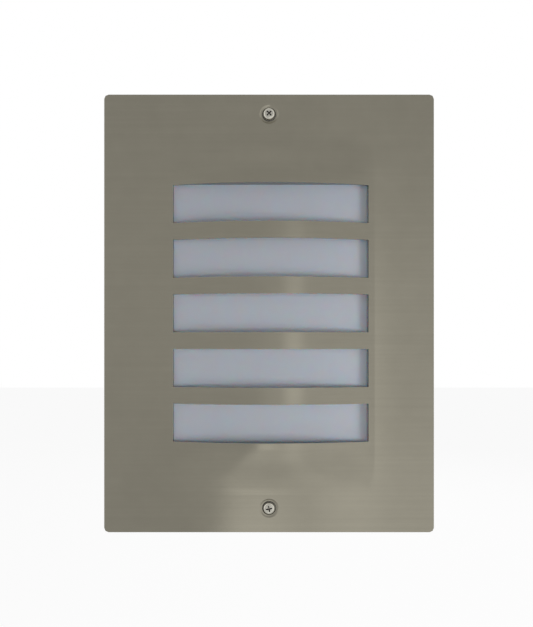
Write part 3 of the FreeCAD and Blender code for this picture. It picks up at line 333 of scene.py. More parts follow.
def mixColour(tree, factor, first, second):
    # the first where the factor is 0, the second where it is 1; each is a socket or a colour
    node = newNode(tree, "ShaderNodeMix", data_type="RGBA")
    sockets = node.inputs["Factor"], node.inputs[6], node.inputs[7]
    for socket, value in zip(sockets, (factor, first, second)):
        fill(tree, socket, value)
    return node.outputs[2]


# what all finishes share: stripes are counted in widths, grain is the way the gloss spreads
common = {
    "clouds": 1.1, "darker": 0.86, "streak": 1.2, "streakMiddle": 0.25, "stripeEvery": 3,
    # the dark colour of the painted shade and dirt in screw recesses stands on this line
    "stripeFrom": 1.8, "shadeAndDirt": (0.030, 0.028, 0.024), "bumpDistance": 0.0002,
    "coatRoughness": 0.12, "grain": (0.03, 0.06, 1.0),
}


def makeFinish(name, look):
    # one finish from its values: cloudy colour, worn edges, roughness that varies, and fine bump
    material = bpy.data.materials.new(name)
    material.use_nodes = True
    tree = material.node_tree
    shader = tree.nodes["Principled BSDF"]
    place = newNode(tree, "ShaderNodeTexCoord").outputs["Object"]
    clouds = placeGroup(tree, "smudge", place, Scale=look["clouds"], Amount=common["clouds"])
    wear = placeGroup(tree, "wear", place, Radius=look["wear"])
    mask = clouds["Mask"]
    if "stripe" in look:
        # not clouds but slanted bands of the two colours, for the green and yellow lead
        apart = newNode(tree, "ShaderNodeSeparateXYZ")
        join(tree, (place, apart.inputs[0]))
        slanted = plus(tree, apart.outputs["X"], apart.outputs["Y"])
        width = look["stripe"]
        bands = math2(tree, "PINGPONG", slanted, width * common["stripeEvery"])
        mask = math2(tree, "GREATER_THAN", bands, width * common["stripeFrom"])
    colour = mixColour(tree, mask, look["colour"], look["other"])
    if look["kind"] == "moulded":
        grit = placeGroup(tree, "grit", place, Scale=look["grit"], Pits=look["pits"])
        height, streaks = grit["Height"], clouds["Signed"]
    else:
        brush = placeGroup(tree, "brush", place, Lines=look["lines"])
        height, streaks = brush["Height"], brush["Streaks"]
        darker = tuple(part * common["darker"] for part in look["colour"])
        mask = times(tree, streaks, look.get("streak", common["streak"]))
        mask = plus(tree, mask, common["streakMiddle"], clamp=True)
        colour = mixColour(tree, mask, colour, darker)
    colour = mixColour(tree, wear["Mask"], colour, look["worn"])
    if "shadeDirt" in look:
        # painted shade and dirt in the driver's recess and under the head, darkest where a place is
        # most hidden
        shadeAndDirt = placeGroup(tree, "shadeDirt", place, Reach=look["shadeDirt"])
        colour = mixColour(tree, shadeAndDirt["Mask"], colour, common["shadeAndDirt"])
    # roughness: its own value plus the spread times the clouds and times the streaks
    cloudy = times(tree, clouds["Signed"], look["spread"])
    streaky = times(tree, streaks, look["spread"])
    rough = plus(tree, cloudy, streaky)
    rough = plus(tree, rough, look["roughness"], clamp=True)
    bump = newNode(tree, "ShaderNodeBump",
                   {"Strength": look["bump"], "Distance": common["bumpDistance"]})
    join(tree, (height, bump.inputs["Height"]), (wear["Normal"], bump.inputs["Normal"]))
    join(tree, (colour, shader.inputs["Base Color"]), (rough, shader.inputs["Roughness"]))
    join(tree, (bump.outputs[0], shader.inputs["Normal"]))
    constants = {
        "Metallic": look.get("metal", 0.0), "Coat Weight": look.get("coat", 0.0),
        "Coat Roughness": common["coatRoughness"], "Anisotropic": look.get("anisotropic", 0.0),
    }
    if "subsurface" in look:
        constants["Subsurface Weight"] = look["subsurface"]
        constants["Subsurface Scale"] = look["soak"]
    for label, value in constants.items():
        shader.inputs[label].default_value = value
    if look["kind"] == "brushed":
        # the gloss spreads up the plate, across its grain; a hair off upright suits every face
        upwards = newNode(tree, "ShaderNodeVectorTransform", {"Vector": common["grain"]},
                          vector_type="VECTOR", convert_from="OBJECT", convert_to="WORLD")
        join(tree, (upwards.outputs[0], shader.inputs["Tangent"]))
    layOut(tree)
    return material


materials = {name: makeFinish(name, look) for name, look in finishes.items()}

# each node's finish and body, from the record; CAD nodes that stay visible wear their finish too
slotOf = {part["node"]: part["material_slot"] for part in frame["record"]["subparts"]}
bodies = frame["record"]["behaviour"]["bodies"]
bodyOf = {node: body for body, members in bodies.items() for node in members}
for node, slot in slotOf.items():
    mesh = cadNodes[node].data
    mesh.materials.clear()
    mesh.materials.append(materials[slot])
print("finishes made:", len(materials))

# meshes: points closer than mergeWithin become one, edges shorter than dropUnder go (metres)
mergeWithin, dropUnder = 0.000002, 0.000001


def latticeFaces(rows, columns, wrapRows=False, wrapColumns=False):
    # four corner numbers for each cell of a lattice whose points are numbered row by row
    row = np.arange(rows if wrapRows else rows - 1)[:, None]
    column = np.arange(columns if wrapColumns else columns - 1)[None, :]
    nextRow, nextColumn = (row + 1) % rows, (column + 1) % columns
    corners = [row * columns + column, row * columns + nextColumn]
    corners += [nextRow * columns + nextColumn, nextRow * columns + column]
    corners = [np.broadcast_to(numbers, (row.size, column.size)) for numbers in corners]
    return np.stack(corners, -1).reshape(-1, 4)


def makePiece(name, surfaces, node, sharp=32):
    # one mesh from (points, faces) pairs in millimetres: each pair's corner numbers grow by the
    # count of the points before it, doubles are merged and normals turned outwards. The piece takes
    # the CAD node's place, body and finish
    flat = [points.reshape(-1, 3) for points, _ in surfaces]
    points = np.concatenate(flat) * mm
    counts = np.cumsum([0] + [len(part) for part in flat])
    faces = np.concatenate([part + count for (_, part), count in zip(surfaces, counts)])
    mesh = bpy.data.meshes.new(name)
    mesh.from_pydata(points.tolist(), [], faces.tolist())
    shape = bmesh.new()
    shape.from_mesh(mesh)
    bmesh.ops.remove_doubles(shape, verts=shape.verts, dist=mergeWithin)
    bmesh.ops.dissolve_degenerate(shape, edges=shape.edges, dist=dropUnder)
    bmesh.ops.recalc_face_normals(shape, faces=shape.faces)
    shape.to_mesh(mesh)
    shape.free()
    mesh.polygons.foreach_set("use_smooth", np.ones(len(mesh.polygons), bool))
    mesh.set_sharp_from_angle(angle=math.radians(sharp))
    piece = bpy.data.objects.new(name, mesh)
    bpy.context.scene.collection.objects.link(piece)
    mesh.materials.append(materials[slotOf[node]])
    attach(piece, bodyOf[node])
    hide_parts(node)
    return piece


def spreadLines(stops, step):
    # places from the first stop to the last, evenly spaced between neighbours, no further than step
    runs = []
    for start, end in zip(stops, stops[1:]):
        runs.append(np.linspace(start, end, max(2, math.ceil((end - start) / step) + 1))[:-1])
    return np.concatenate(runs + [np.array(stops[-1:], float)])


def smoothStep(value):
    # 0 below 0, 1 above 1, and 3v^2 - 2v^3 between
    value = np.clip(value, 0, 1)
    return value * value * (3 - 2 * value)


# front plate

plate = {
    "corner": 3.0, "sheet": 1.2, "middle": 1.2, "rise": 8.0, "fade": 36.0, "panelHalf": 68.5,
    "slotHalf": 67.0, "slotHeight": 26.0, "slotPitch": 37.4, "slots": 5,
    "screwHeights": (136.5, -133.5), "patchHalf": 8.5, "dimple": 1.2, "dimpleOut": 6.5,
    "dimpleLip": 4.72, "dimpleIn": 4.45, "bowl": 0.50, "hole": 2.3, "edge": 0.28, "edgeAngle": 50,
    "step": 3.2, "patchStep": 0.85, "apart": 0.01, "digits": 5,
    # how fast the dimple's rim rounds over, how far the flat ring round it starts outside its
    # first ring, and the gaps and counts of rings on its flat, bowl, lip and floor
    "rimSoft": 6, "flatOut": 0.6, "ringGap": 0.2, "lipGap": 0.05, "rings": (4, 20, 5, 6),
}


def bowDepth(x, z):
    # forward rise: a parabola across the slots, times a smooth step that dies away above and below
    stack = (plate["slotPitch"] * (plate["slots"] - 1) + plate["slotHeight"]) / 2
    across = np.clip((x - plate["middle"]) / plate["panelHalf"], -1, 1)
    along = smoothStep((stack + plate["fade"] - np.abs(z)) / plate["fade"])
    return plate["rise"] * (1 - across**2) * along


def makePlate():
    # a grid of lines that fall on every slot's sides and round each screw; its depth is the front
    # less the bow, cells inside a slot are left out, and the sheet gets its thickness afterwards
    low, high = boxOf("front_plate")
    front = low[1] + plate["rise"]
    corner, patch, middle = plate["corner"], plate["patchHalf"], plate["middle"]
    panelHalf, slotHalf, halfHigh = plate["panelHalf"], plate["slotHalf"], plate["slotHeight"] / 2
    slotMiddles = (np.arange(plate["slots"]) - (plate["slots"] - 1) / 2) * plate["slotPitch"]
    slotEdges = np.sort(np.concatenate([slotMiddles - halfHigh, slotMiddles + halfHigh]))
    fadeEnd = slotEdges[-1] + plate["fade"]
    xStops = sorted([low[0], low[0] + corner, high[0] - corner, high[0], -patch, patch,
                     middle - panelHalf, middle + panelHalf, middle - slotHalf, middle + slotHalf])
    patchEnds = [height + side * patch for height in plate["screwHeights"] for side in (-1, 1)]
    zStops = sorted([low[2], low[2] + corner, high[2] - corner, high[2],
                     -fadeEnd, fadeEnd, *patchEnds, *slotEdges])
    xs, zs = spreadLines(xStops, plate["step"]), spreadLines(zStops, plate["step"])
    dense = spreadLines([-patch, patch], plate["patchStep"])
    clear, digits = patch + plate["apart"], plate["digits"]
    xs = np.unique(np.round(np.concatenate([xs[np.abs(xs) > clear], dense]), digits))
    for height in plate["screwHeights"]:
        zs = np.concatenate([zs[np.abs(zs - height) > clear], dense + height])
    zs = np.unique(np.round(zs, digits))
    z, x = np.meshgrid(zs, xs, indexing="ij")
    # a square corner is drawn into a quarter disc: each way, from 0 to 1 over the corner, is
    # multiplied by the root of one less half the other's square
    a = np.clip((np.abs(x) - (high[0] - corner)) / corner, 0, 1)
    b = np.clip((np.abs(z) - (high[2] - corner)) / corner, 0, 1)
    roundX = np.sign(x) * (high[0] - corner + corner * a * np.sqrt(1 - b * b / 2))
    roundZ = np.sign(z) * (high[2] - corner + corner * b * np.sqrt(1 - a * a / 2))
    inCorner = (a > 0) & (b > 0)
    x, z = np.where(inCorner, roundX, x), np.where(inCorner, roundZ, z)
    sheet = np.stack([x, front - bowDepth(x, z), z], -1)
    faces = latticeFaces(len(zs), len(xs))
    middles = sheet.reshape(-1, 3)[faces].mean(1)
    inSlot = (np.abs(middles[:, 2, None] - slotMiddles) < halfHigh).any(1)
    inSlot &= np.abs(middles[:, 0] - middle) < slotHalf
    nearScrew = np.zeros(len(faces), bool)
    for height in plate["screwHeights"]:
        nearScrew |= (np.abs(middles[:, 2] - height) < patch) & (np.abs(middles[:, 0]) < patch)
    surfaces = [(sheet, faces[~(inSlot | nearScrew)])]
    for height in plate["screwHeights"]:
        surfaces.append(screwPatch(dense, height, front))
    piece = makePiece("brushed_plate", surfaces, "front_plate", sharp=60)
    if piece.data.polygons[0].normal.y > 0:
        piece.data.flip_normals()
    wall = piece.modifiers.new("sheet", "SOLIDIFY")
    wall.thickness, wall.offset, wall.use_even_offset = plate["sheet"] * mm, -1, True
    edge = piece.modifiers.new("edge", "BEVEL")
    edge.width, edge.segments, edge.limit_method = plate["edge"] * mm, 2, "ANGLE"
    edge.angle_limit = math.radians(plate["edgeAngle"])
    edge.harden_normals = True


def screwPatch(lines, height, front):
    # from a square's rim to the screw's hole: rays shrink to a circle, then sink along a shallow
    # bowl by one less the square of what is left to the lip, softened at the rim by the root of a
    # smooth step, and over the lip they drop by a smooth step to a flat floor
    n = len(lines) - 1
    low, high = np.full(n, lines[0]), np.full(n, lines[-1])
    rim = np.concatenate([np.stack(pair, -1) for pair in (
        (lines[:-1], low), (high, lines[:-1]), (lines[:0:-1], high), (low, lines[:0:-1]))])
    angle = np.arctan2(rim[:, 1], rim[:, 0])
    ray = np.stack([np.cos(angle), np.sin(angle)], -1)
    out, lip, inside = plate["dimpleOut"], plate["dimpleLip"], plate["dimpleIn"]
    gap = plate["ringGap"]
    onFlat, onBowl, onLip, onFloor = plate["rings"]
    share = np.linspace(0, 1, onFlat)[:, None, None]
    outer = rim * (1 - share) + ray * (out + plate["flatOut"]) * share
    radii = np.concatenate([np.linspace(out + gap, lip, onBowl),
                            np.linspace(lip - plate["lipGap"], inside, onLip),
                            np.linspace(inside - gap, plate["hole"], onFloor)])
    flat = np.concatenate([outer, ray * radii[:, None, None]])
    reach = np.hypot(flat[..., 0], flat[..., 1])
    inwards = np.clip((out - reach) / (out - lip), 0, 1)
    over = smoothStep((lip - reach) / (lip - inside))
    rimSoft = smoothStep(inwards * plate["rimSoft"]) ** 0.5
    sunk = plate["bowl"] * (1 - (1 - inwards) ** 2) * rimSoft
    sunk = sunk + (plate["dimple"] - plate["bowl"]) * over
    points = np.stack([flat[..., 0], front + sunk, flat[..., 1] + height], -1)
    return points, latticeFaces(len(flat), len(rim), wrapColumns=True)


makePlate()
print("front plate made")

# turned and threaded pieces: rings of points about an axis, one ring for each place along a profile


def anglesOf(steps):
    # evenly spaced angles once round
    return np.arange(steps) * 2 * math.pi / steps


def ringPoints(radius, along, centre, axis, steps):
    # rings of radius times the cosine and sine of the angle; radius and place along the axis have
    # one column or one for each step
    radius, along = (np.broadcast_to(part, (len(part), steps)) for part in (radius, along))
    side, up = radius * np.cos(anglesOf(steps)), radius * np.sin(anglesOf(steps))
    order = (side, along, up) if axis == "y" else (side, up, along)
    return np.stack(order, -1) + np.array(centre)


def threadRadius(crest, depth, pitch, along, steps):
    # a right-hand V thread: the crest less the depth times the size of twice the phase less one,
    # where the phase is the height in turns less the share of a turn, without its whole part
    phase = (along[:, None] / pitch - np.arange(steps) / steps) % 1
    return crest - depth * np.abs(2 * phase - 1)


def column(*values):
    # numbers as one upright column
    return np.array(values, float)[:, None]


def stackRows(rows, steps):
    # joins rows into one grid; each is (radius, height), where either may be a plain list
    def spread(values):
        # one column, or one for each step, as steps columns
        values = values if isinstance(values, np.ndarray) else column(*values)
        return np.broadcast_to(values, (len(values), steps))

    return [np.concatenate([spread(values) for values in side]) for side in zip(*rows)]


# shares of a recess's slope, width and reach, and the ticks between its arms in millimetres
recess = {
    "endSlope": 1.3, "middle": 0.85, "shallower": 0.35,
    "tickHalf": 0.12, "tickSoft": 0.1, "tickFrom": 0.55, "tickTo": 0.98, "tickFade": 0.2,
}


def crossRecess(radius, steps, drive):
    # how deep the driver's recess is: two crossed slots and a round middle, whose sides rise in
    # straight slopes, shallower outwards; a slotted head has one slot and no middle
    angle = anglesOf(steps) + drive["turn"]
    u, v = radius * np.cos(angle), radius * np.sin(angle)
    out, reach, slope = np.hypot(u, v), drive["reach"], drive["width"] * drive["slope"]

    def bar(p, q):
        # one slot along p: the share of its depth, from the ways to its side and to its end
        across = np.clip((drive["width"] / 2 - np.abs(q)) / slope, 0, 1)
        return across * np.clip((reach - np.abs(p)) / (slope * recess["endSlope"]), 0, 1)

    middle = np.clip((drive["width"] * recess["middle"] - out) / slope, 0, 1)
    arms = np.maximum(bar(u, v), 0 if drive["slotted"] else bar(v, u))
    shallow = arms * (1 - recess["shallower"] * out / reach)
    hollow = np.maximum(shallow, 0 if drive["slotted"] else middle)
    # four short ticks: smooth steps off the two diagonals and between two reaches
    offWay = np.minimum(np.abs(u - v), np.abs(u + v)) / math.sqrt(2)
    tick = smoothStep((recess["tickHalf"] - offWay) / recess["tickSoft"] + 0.5)
    tick = tick * smoothStep((out - reach * recess["tickFrom"]) / recess["tickFade"])
    tick = tick * smoothStep((reach * recess["tickTo"] - out) / recess["tickFade"])
    return drive["depth"] * hollow + drive["ticks"] * tick


# how every screw is drawn: its head's rim, its rows and its coned tip as shares of the shank
screwMade = {"sweep": 7, "rim": 0.02, "under": 0.12, "rows": 6, "tipLong": 0.6, "tipWide": 0.55}


def screwSurface(kind, seat, centre, axis="y", turn=0.0):
    # a pan head, from its pole over a quarter circle, domed by the square of the radius over the
    # head's and sunk by its recess; then a threaded shank and a coned tip
    steps = kind["steps"]
    head, tall, rounding, shank = kind["head"], kind["tall"], kind["round"], kind["shank"]
    crown = np.linspace(0, head - rounding, kind["rows"])[:, None]
    sweep = np.linspace(0, math.pi / 2, screwMade["sweep"])[1:, None]
    ring = np.concatenate([crown, head - rounding + rounding * np.sin(sweep)])
    drop = np.concatenate([crown * 0, rounding * (1 - np.cos(sweep))])
    drop = drop + kind["dome"] * (ring / head) ** 2
    drop = drop + crossRecess(ring, steps, dict(kind["drive"], turn=turn))
    pitch, tip = kind["pitch"], tall + kind["length"]
    threadLong = kind["length"] - shank * screwMade["tipLong"]
    ways = np.arange(0, threadLong, pitch / screwMade["rows"]) + tall
    rows = [(ring, drop), ([head, head - screwMade["under"]], [tall - screwMade["rim"], tall]),
            ([shank], [tall]),
            (threadRadius(shank, kind["thread"], pitch, ways, steps), ways[:, None]),
            ([shank * screwMade["tipWide"], 0], [tip, tip])]
    radius, along = stackRows(rows, steps)
    points = ringPoints(radius, seat - tall + along, centre, axis, steps)
    return points, latticeFaces(len(radius), steps, wrapColumns=True)


coverScrew = {
    "head": 4.0, "tall": 2.4, "round": 1.5, "dome": 0.2, "shank": 1.95, "length": 16.0,
    "pitch": 0.7, "thread": 0.38, "rows": 46, "steps": 144,
    "drive": dict(reach=2.2, width=1.05, depth=1.6, slope=0.36, ticks=0.16, slotted=False),
}
coverTurns = {"upper": math.radians(45), "lower": math.radians(-12)}

# the ring under each head: back is how far its face stays behind the head, so they don't touch
sealRing = {
    "bore": 2.05, "boreEdge": 2.2, "faceOut": 0.35, "bend": 0.1, "back": 0.03, "side": 0.28,
    "rearSide": 0.15, "rearIn": 0.2, "steps": 72,
}


def makeSealRing(label, height):
    # a closed profile of eight corners, from the bore over the face and the rim to the back
    low, high = boxOf(f"{label}_screw_seal")
    rim, lift, steps = high[0], high[1] - low[1], sealRing["steps"]
    bore, bend, back = sealRing["bore"], sealRing["bend"], sealRing["back"]
    radius = column(bore, sealRing["boreEdge"], rim - sealRing["faceOut"], rim - bend, rim, rim,
                    rim - sealRing["rearIn"], bore)
    along = low[1] + column(bend, back, back, bend, sealRing["side"], lift - sealRing["rearSide"],
                            lift, lift)
    points = ringPoints(radius, along, (0, 0, height), "y", steps)
    surface = points, latticeFaces(len(radius), steps, True, True)
    makePiece(f"{label}_seal_ring", [surface], f"{label}_screw_seal")


for label, height in zip(("upper", "lower"), plate["screwHeights"]):
    seat = boxOf(f"{label}_screw_seal")[0][1]
    surface = screwSurface(coverScrew, seat, (0, 0, height), turn=coverTurns[label])
    makePiece(f"{label}_screw", [surface], f"{label}_cover_screw")
    makeSealRing(label, height)
print("cover screws made")

# screws inside: their length is worked out from the node's box
panScrew = {
    "head": 3.5, "tall": 2.2, "round": 1.3, "dome": 0.1, "shank": 1.95, "pitch": 0.7,
    "thread": 0.36, "rows": 18, "steps": 56,
    "drive": dict(reach=1.9, width=0.8, depth=1.1, slope=0.3, ticks=0.0, slotted=False),
}
smallScrew = {
    "head": 2.8, "tall": 2.0, "round": 1.0, "dome": 0.1, "shank": 1.5, "pitch": 0.5,
    "thread": 0.28, "rows": 16, "steps": 48,
    "drive": dict(reach=2.9, width=0.7, depth=0.9, slope=0.12, ticks=0.0, slotted=True),
}
grubScrew = {
    "head": 1.7, "tall": 1.2, "round": 0.2, "dome": 0.0, "shank": 1.62, "pitch": 0.5,
    "thread": 0.2, "rows": 16, "steps": 40,
    "drive": dict(reach=1.9, width=0.6, depth=0.8, slope=0.12, ticks=0.0, slotted=True),
}


def rowPlaces(low, high, edge, number):
    # evenly spaced places, the outer ones a head's radius inside the node's box
    return np.linspace(low + edge, high - edge, number) if number > 1 else [(low + high) / 2]


# each node's kind of screw, how many stand across and up, and how far the first is turned; each
# next one is turned by nextTurn more (radians)
nextTurn = 0.8
innerScrews = {
    "reflector_screws": (panScrew, 2, 1, 0.3), "bracket_screws": (panScrew, 2, 1, 1.1),
    "earth_screw": (panScrew, 1, 1, 0.7), "terminal_block_screws": (smallScrew, 2, 1, 0.5),
    "terminal_screws": (grubScrew, 3, 2, 1.2), "lampholder_screws": (smallScrew, 2, 1, 0.4),
}
for node, (kind, across, upwards, turn) in innerScrews.items():
    low, high = boxOf(node)
    axis = "z" if node == "lampholder_screws" else "y"
    along, other = (2, 1) if axis == "z" else (1, 2)
    fitted = dict(kind, length=high[along] - low[along] - kind["tall"])
    seat, surfaces = low[along] + kind["tall"], []
    for x in rowPlaces(low[0], high[0], kind["head"], across):
        for side in rowPlaces(low[other], high[other], kind["head"], upwards):
            centre = (x, side, 0) if axis == "z" else (x, 0, side)
            spin = turn + len(surfaces) * nextTurn
            surfaces.append(screwSurface(fitted, seat, centre, axis, turn=spin))
    makePiece(node.replace("_screws", "_fixings").replace("_screw", "_fixing"), surfaces, node)
print("inner screws made")

# pieces turned round their own upright axis


def makeTurned(name, node, rows, wrap=True, steps=96):
    # the stacked rows carried round the middle of the node's box
    low, high = boxOf(node)
    radius, along = stackRows(rows, steps)
    centre = ((low[0] + high[0]) / 2, (low[1] + high[1]) / 2, 0)
    surface = (ringPoints(radius, along, centre, "z", steps),
               latticeFaces(len(radius), steps, wrap, True))
    makePiece(name, [surface], node, sharp=30)


lamp = {
    "glue": 1.2, "pitch": 3.62,
    # waist: its neck and seat, its flutes and where they start up the cone, and its hollow foot
    "neck": 14.5, "power": 0.85, "lap": 0.1, "gap": 0.3, "flute": 0.35, "flutes": 24,
    "fluteRun": 1.3, "fluteFrom": 0.15, "cup": 11.6, "cupWall": 0.6, "cupFloor": 1.0,
    # cap: its wall and hole, and how far its thread stays off both ends and fades
    "capDepth": 0.8, "capWall": 0.35, "capHole": 9.3, "capEnds": (1.2, 1.6), "capFade": 1.5,
    "capRim": 1.2, "footIn": (1.0, 0.3), "footUp": (0.25, 0.9),
    "holderInside": 13.75, "holderWave": 0.22, "holderEnd": 0.8,
}


def rolledWave(height, steps):
    # a rolled thread's depth: half of one minus the cosine of the height in turns, less the turn
    turns = height / lamp["pitch"] - np.arange(steps) / steps
    return 0.5 - 0.5 * np.cos(2 * math.pi * turns)


def makeGlobe():
    # a sphere from its seat to its pole, by the cosine and sine of a sweep, on a flat glued foot
    low, high = boxOf("lamp_bulb")
    ball = (high[0] - low[0]) / 2
    middleZ = high[2] - ball
    seat = math.sqrt(ball**2 - (middleZ - low[2]) ** 2)
    sweep = np.linspace(math.asin((low[2] - middleZ) / ball), math.pi / 2, 60)[:, None]
    rows = [([0, seat - lamp["glue"]], [low[2], low[2]]),
            (ball * np.cos(sweep), middleZ + ball * np.sin(sweep))]
    makeTurned("lamp_globe", "lamp_bulb", rows, wrap=False)
    return seat, low[2]


def makeWaist(seat, seatZ):
    # the radius grows from neck to seat as a power of the height, less flutes: a cosine round the
    # cone times the root of a half sine up it
    capLow, capHigh = (corner[2] for corner in boxOf("lamp_cap"))
    neck, cup, gap, steps = lamp["neck"], lamp["cup"], lamp["gap"], 192
    foot, height = capLow + lamp["cupFloor"], np.linspace(0, 1, 40)[:, None]
    upCone = np.clip(height * lamp["fluteRun"] - lamp["fluteFrom"], 0, 1)
    flute = lamp["flute"] * np.sin(math.pi * upCone) ** 0.5
    flute = flute * (0.5 + 0.5 * np.cos(anglesOf(steps) * lamp["flutes"]))
    side = neck + (seat + lamp["lap"] - neck) * height ** lamp["power"] - flute
    rows = [([0, cup, cup, neck - lamp["cupWall"]], [foot, foot, capHigh, capHigh]),
            (side, capHigh + gap + (seatZ - capHigh - gap) * height), ([0], [seatZ])]
    makeTurned("lamp_waist", "lamp_body", rows, wrap=False, steps=steps)


def makeCapThread():
    # outside: the crest less the rolled wave, which a smooth step fades at both ends; inside: the
    # same line, a wall's thickness in
    low, high = boxOf("lamp_cap")
    bottom, top, crest, steps = low[2], high[2], (high[0] - low[0]) / 2, 96
    wall, hole, fadeOver, (footEnd, topEnd) = (
        lamp["capWall"], lamp["capHole"], lamp["capFade"], lamp["capEnds"])
    height = np.linspace(bottom + footEnd, top - topEnd, 60)[:, None]
    fade = smoothStep((height - height[0]) / fadeOver)
    fade = fade * smoothStep((height[-1] - height) / fadeOver)
    threads = crest - lamp["capDepth"] * rolledWave(height, steps) * fade
    footRadii = [hole, *(crest - inset for inset in lamp["footIn"]), crest]
    footHeights = [bottom, bottom, *(bottom + lift for lift in lamp["footUp"])]
    rows = [(footRadii, footHeights), (threads, height),
            ([crest, crest], [top - lamp["capRim"], top])]
    outer, outerZ = stackRows(rows, steps)
    inner = np.maximum(outer[::-1] - wall, hole), np.maximum(outerZ[::-1], bottom + wall)
    makeTurned("lamp_thread", "lamp_cap", [(outer, outerZ), inner], steps=steps)


def makeHolderThread():
    # a plain sleeve whose inside has the same rolled wave
    low, high = boxOf("lampholder_shell")
    bottom, top, inside, outside = low[2], high[2], lamp["holderInside"], (high[0] - low[0]) / 2
    height = np.linspace(bottom + lamp["holderEnd"], top - lamp["holderEnd"], 84)[:, None]
    wave = lamp["holderWave"] * rolledWave(height, 96)
    rows = [([inside], [bottom]), (inside - wave, height),
            ([inside, outside, outside], [top, top, bottom])]
    makeTurned("holder_thread", "lampholder_shell", rows)


makeWaist(*makeGlobe())
makeCapThread()
makeHolderThread()
print("lamp made")

# cable gland and blanking plug

# what gland and plug share: the thread into the box's wall, the groove over it and its tip
entry = {"thread": 10.0, "threadDepth": 0.7, "pitch": 1.5, "groove": 9.6, "tip": 9.4}
gland = dict(
    entry, bore=6.6, boreBevel=0.6, spigot=9.0, spigotDepth=0.5, rim=0.5, spigotEnd=0.8,
    undercut=0.6, flats=24.0, hexTall=5.0, bevel=1.1, flatShare=0.985, threadEnds=(0.4, 0.9),
    ringFlats=26.0, ringHole=10.1,
    nutTall=8.5, nutInside=9.1, mouth=6.0, domeLow=7.2, domeGrow=4.6, domeGap=0.2,
)
plug = dict(
    entry, crown=12.2, rim=0.8, rimTall=1.2, rimLow=0.3, rimIn=0.2, slotHalf=1.2, slotDepth=1.0,
    slotSoft=0.3, grips=32, grip=0.22, bore=7.5, roof=2.0, threadEnds=(0.8, 0.5),
)


def hexRows(flats, low, high, steps):
    # rows of a nut: half the flats over the cosine of the angle from a side's middle, cut off by a
    # limit that grows, as the root of the way in from an end, from just under the flats to the
    # corners
    corner, bevel, least = flats / math.sqrt(3), gland["bevel"], flats / 2 * gland["flatShare"]
    ways = np.concatenate([np.linspace(0, bevel, 6), (high - low) - np.linspace(bevel, 0, 6)])
    away = np.minimum(ways, (high - low) - ways)[:, None]
    limit = least + (corner - least) * np.sqrt(np.clip(away / bevel, 0, 1))
    angle = anglesOf(steps) % (math.pi / 3) - math.pi / 6
    return np.minimum(flats / 2 / np.cos(angle), limit), (low + ways)[:, None]


def threadRows(crest, depth, pitch, low, high, steps=96):
    # a V thread, eight rows to a turn
    ways = np.arange(low, high, pitch / 8)
    return threadRadius(crest, depth, pitch, ways, steps), ways[:, None]


def makeGland():
    # body: a bored spigot, a hexagon and the thread that goes through the box's wall
    steps, pitch = 96, gland["pitch"]
    low, high = boxOf("gland_body")
    bottom, top, washer = low[2], high[2], boxOf("gland_washer")[0][2]
    bore, bevel, spigot, rim = gland["bore"], gland["boreBevel"], gland["spigot"], gland["rim"]
    hexLow, (start, end) = washer - gland["hexTall"], gland["threadEnds"]
    rows = [([bore, spigot - rim], [bottom, bottom]),
            threadRows(spigot, gland["spigotDepth"], pitch,
                       bottom + rim, hexLow - gland["spigotEnd"]),
            ([spigot - gland["undercut"]], [hexLow]),
            hexRows(gland["flats"], hexLow, washer, steps), ([gland["groove"]], [washer]),
            threadRows(gland["thread"], gland["threadDepth"], pitch, washer + start, top - end),
            ([gland["tip"], bore + bevel, bore], [top, top, top - bevel])]
    makeTurned("gland_core", "gland_body", rows)
    # cap: a hexagon that runs out in a quarter ellipse to the mouth
    low, high = boxOf("gland_nut")
    bottom, top, inside, mouth = low[2], high[2], gland["nutInside"], gland["mouth"]
    nutLow = top - gland["nutTall"]
    bend, domeTop = np.linspace(math.pi / 2, 0, 12)[:, None], nutLow - gland["domeGap"]
    dome = (gland["domeLow"] + gland["domeGrow"] * np.cos(bend),
            domeTop - (domeTop - bottom) * np.sin(bend))
    rows = [([inside, inside, mouth, mouth], [top, nutLow, nutLow, bottom]), dome,
            hexRows(gland["flats"], nutLow, top, steps)]
    makeTurned("gland_cap", "gland_nut", rows)
    # locknut: a bored hexagon
    bottom, top = (corner[2] for corner in boxOf("gland_locknut"))
    hole = gland["ringHole"]
    rows = [([hole], [bottom]), hexRows(gland["ringFlats"], bottom, top, steps), ([hole], [top])]
    makeTurned("gland_ring", "gland_locknut", rows)


def makePlug():
    # head: a disc with a coin slot, a smooth step down either side of it, a rim of a quarter circle
    # and shallow grips, a cosine round its side; then the thread, and a bore from below
    bottom, top = (corner[2] for corner in boxOf("blanking_plug"))
    washer, roof, angle = boxOf("plug_washer")[1][2], top - plug["roof"], anglesOf(96)
    bore, rim = plug["bore"], plug["rim"]
    crown = np.linspace(0, plug["crown"], 40)[:, None]
    offSlot = plug["slotHalf"] - np.abs(crown * np.sin(angle))
    slot = plug["slotDepth"] * smoothStep(offSlot / plug["slotSoft"] + 0.5)
    bend = np.linspace(0, math.pi / 2, 6)[1:, None]
    grip = plug["grip"] * (0.5 + 0.5 * np.cos(angle * plug["grips"]))
    outer = plug["crown"] + rim
    start, end = plug["threadEnds"]
    threads = threadRows(
        plug["thread"], plug["threadDepth"], plug["pitch"], bottom + start, washer - end)
    rows = [(crown, top - slot),
            (plug["crown"] + (rim - grip) * np.sin(bend), top - rim * (1 - np.cos(bend))),
            (column(outer, outer, outer - plug["rimIn"]) - grip,
             column(top - plug["rimTall"], washer + plug["rimLow"], washer)),
            ([plug["groove"]], [washer]), [part[::-1] for part in threads],
            ([plug["tip"], bore, bore, 0], [bottom, bottom, roof, roof])]
    makeTurned("entry_plug", "blanking_plug", rows, wrap=False)


makeGland()
makePlug()
print("entries made")

# floor, background and light

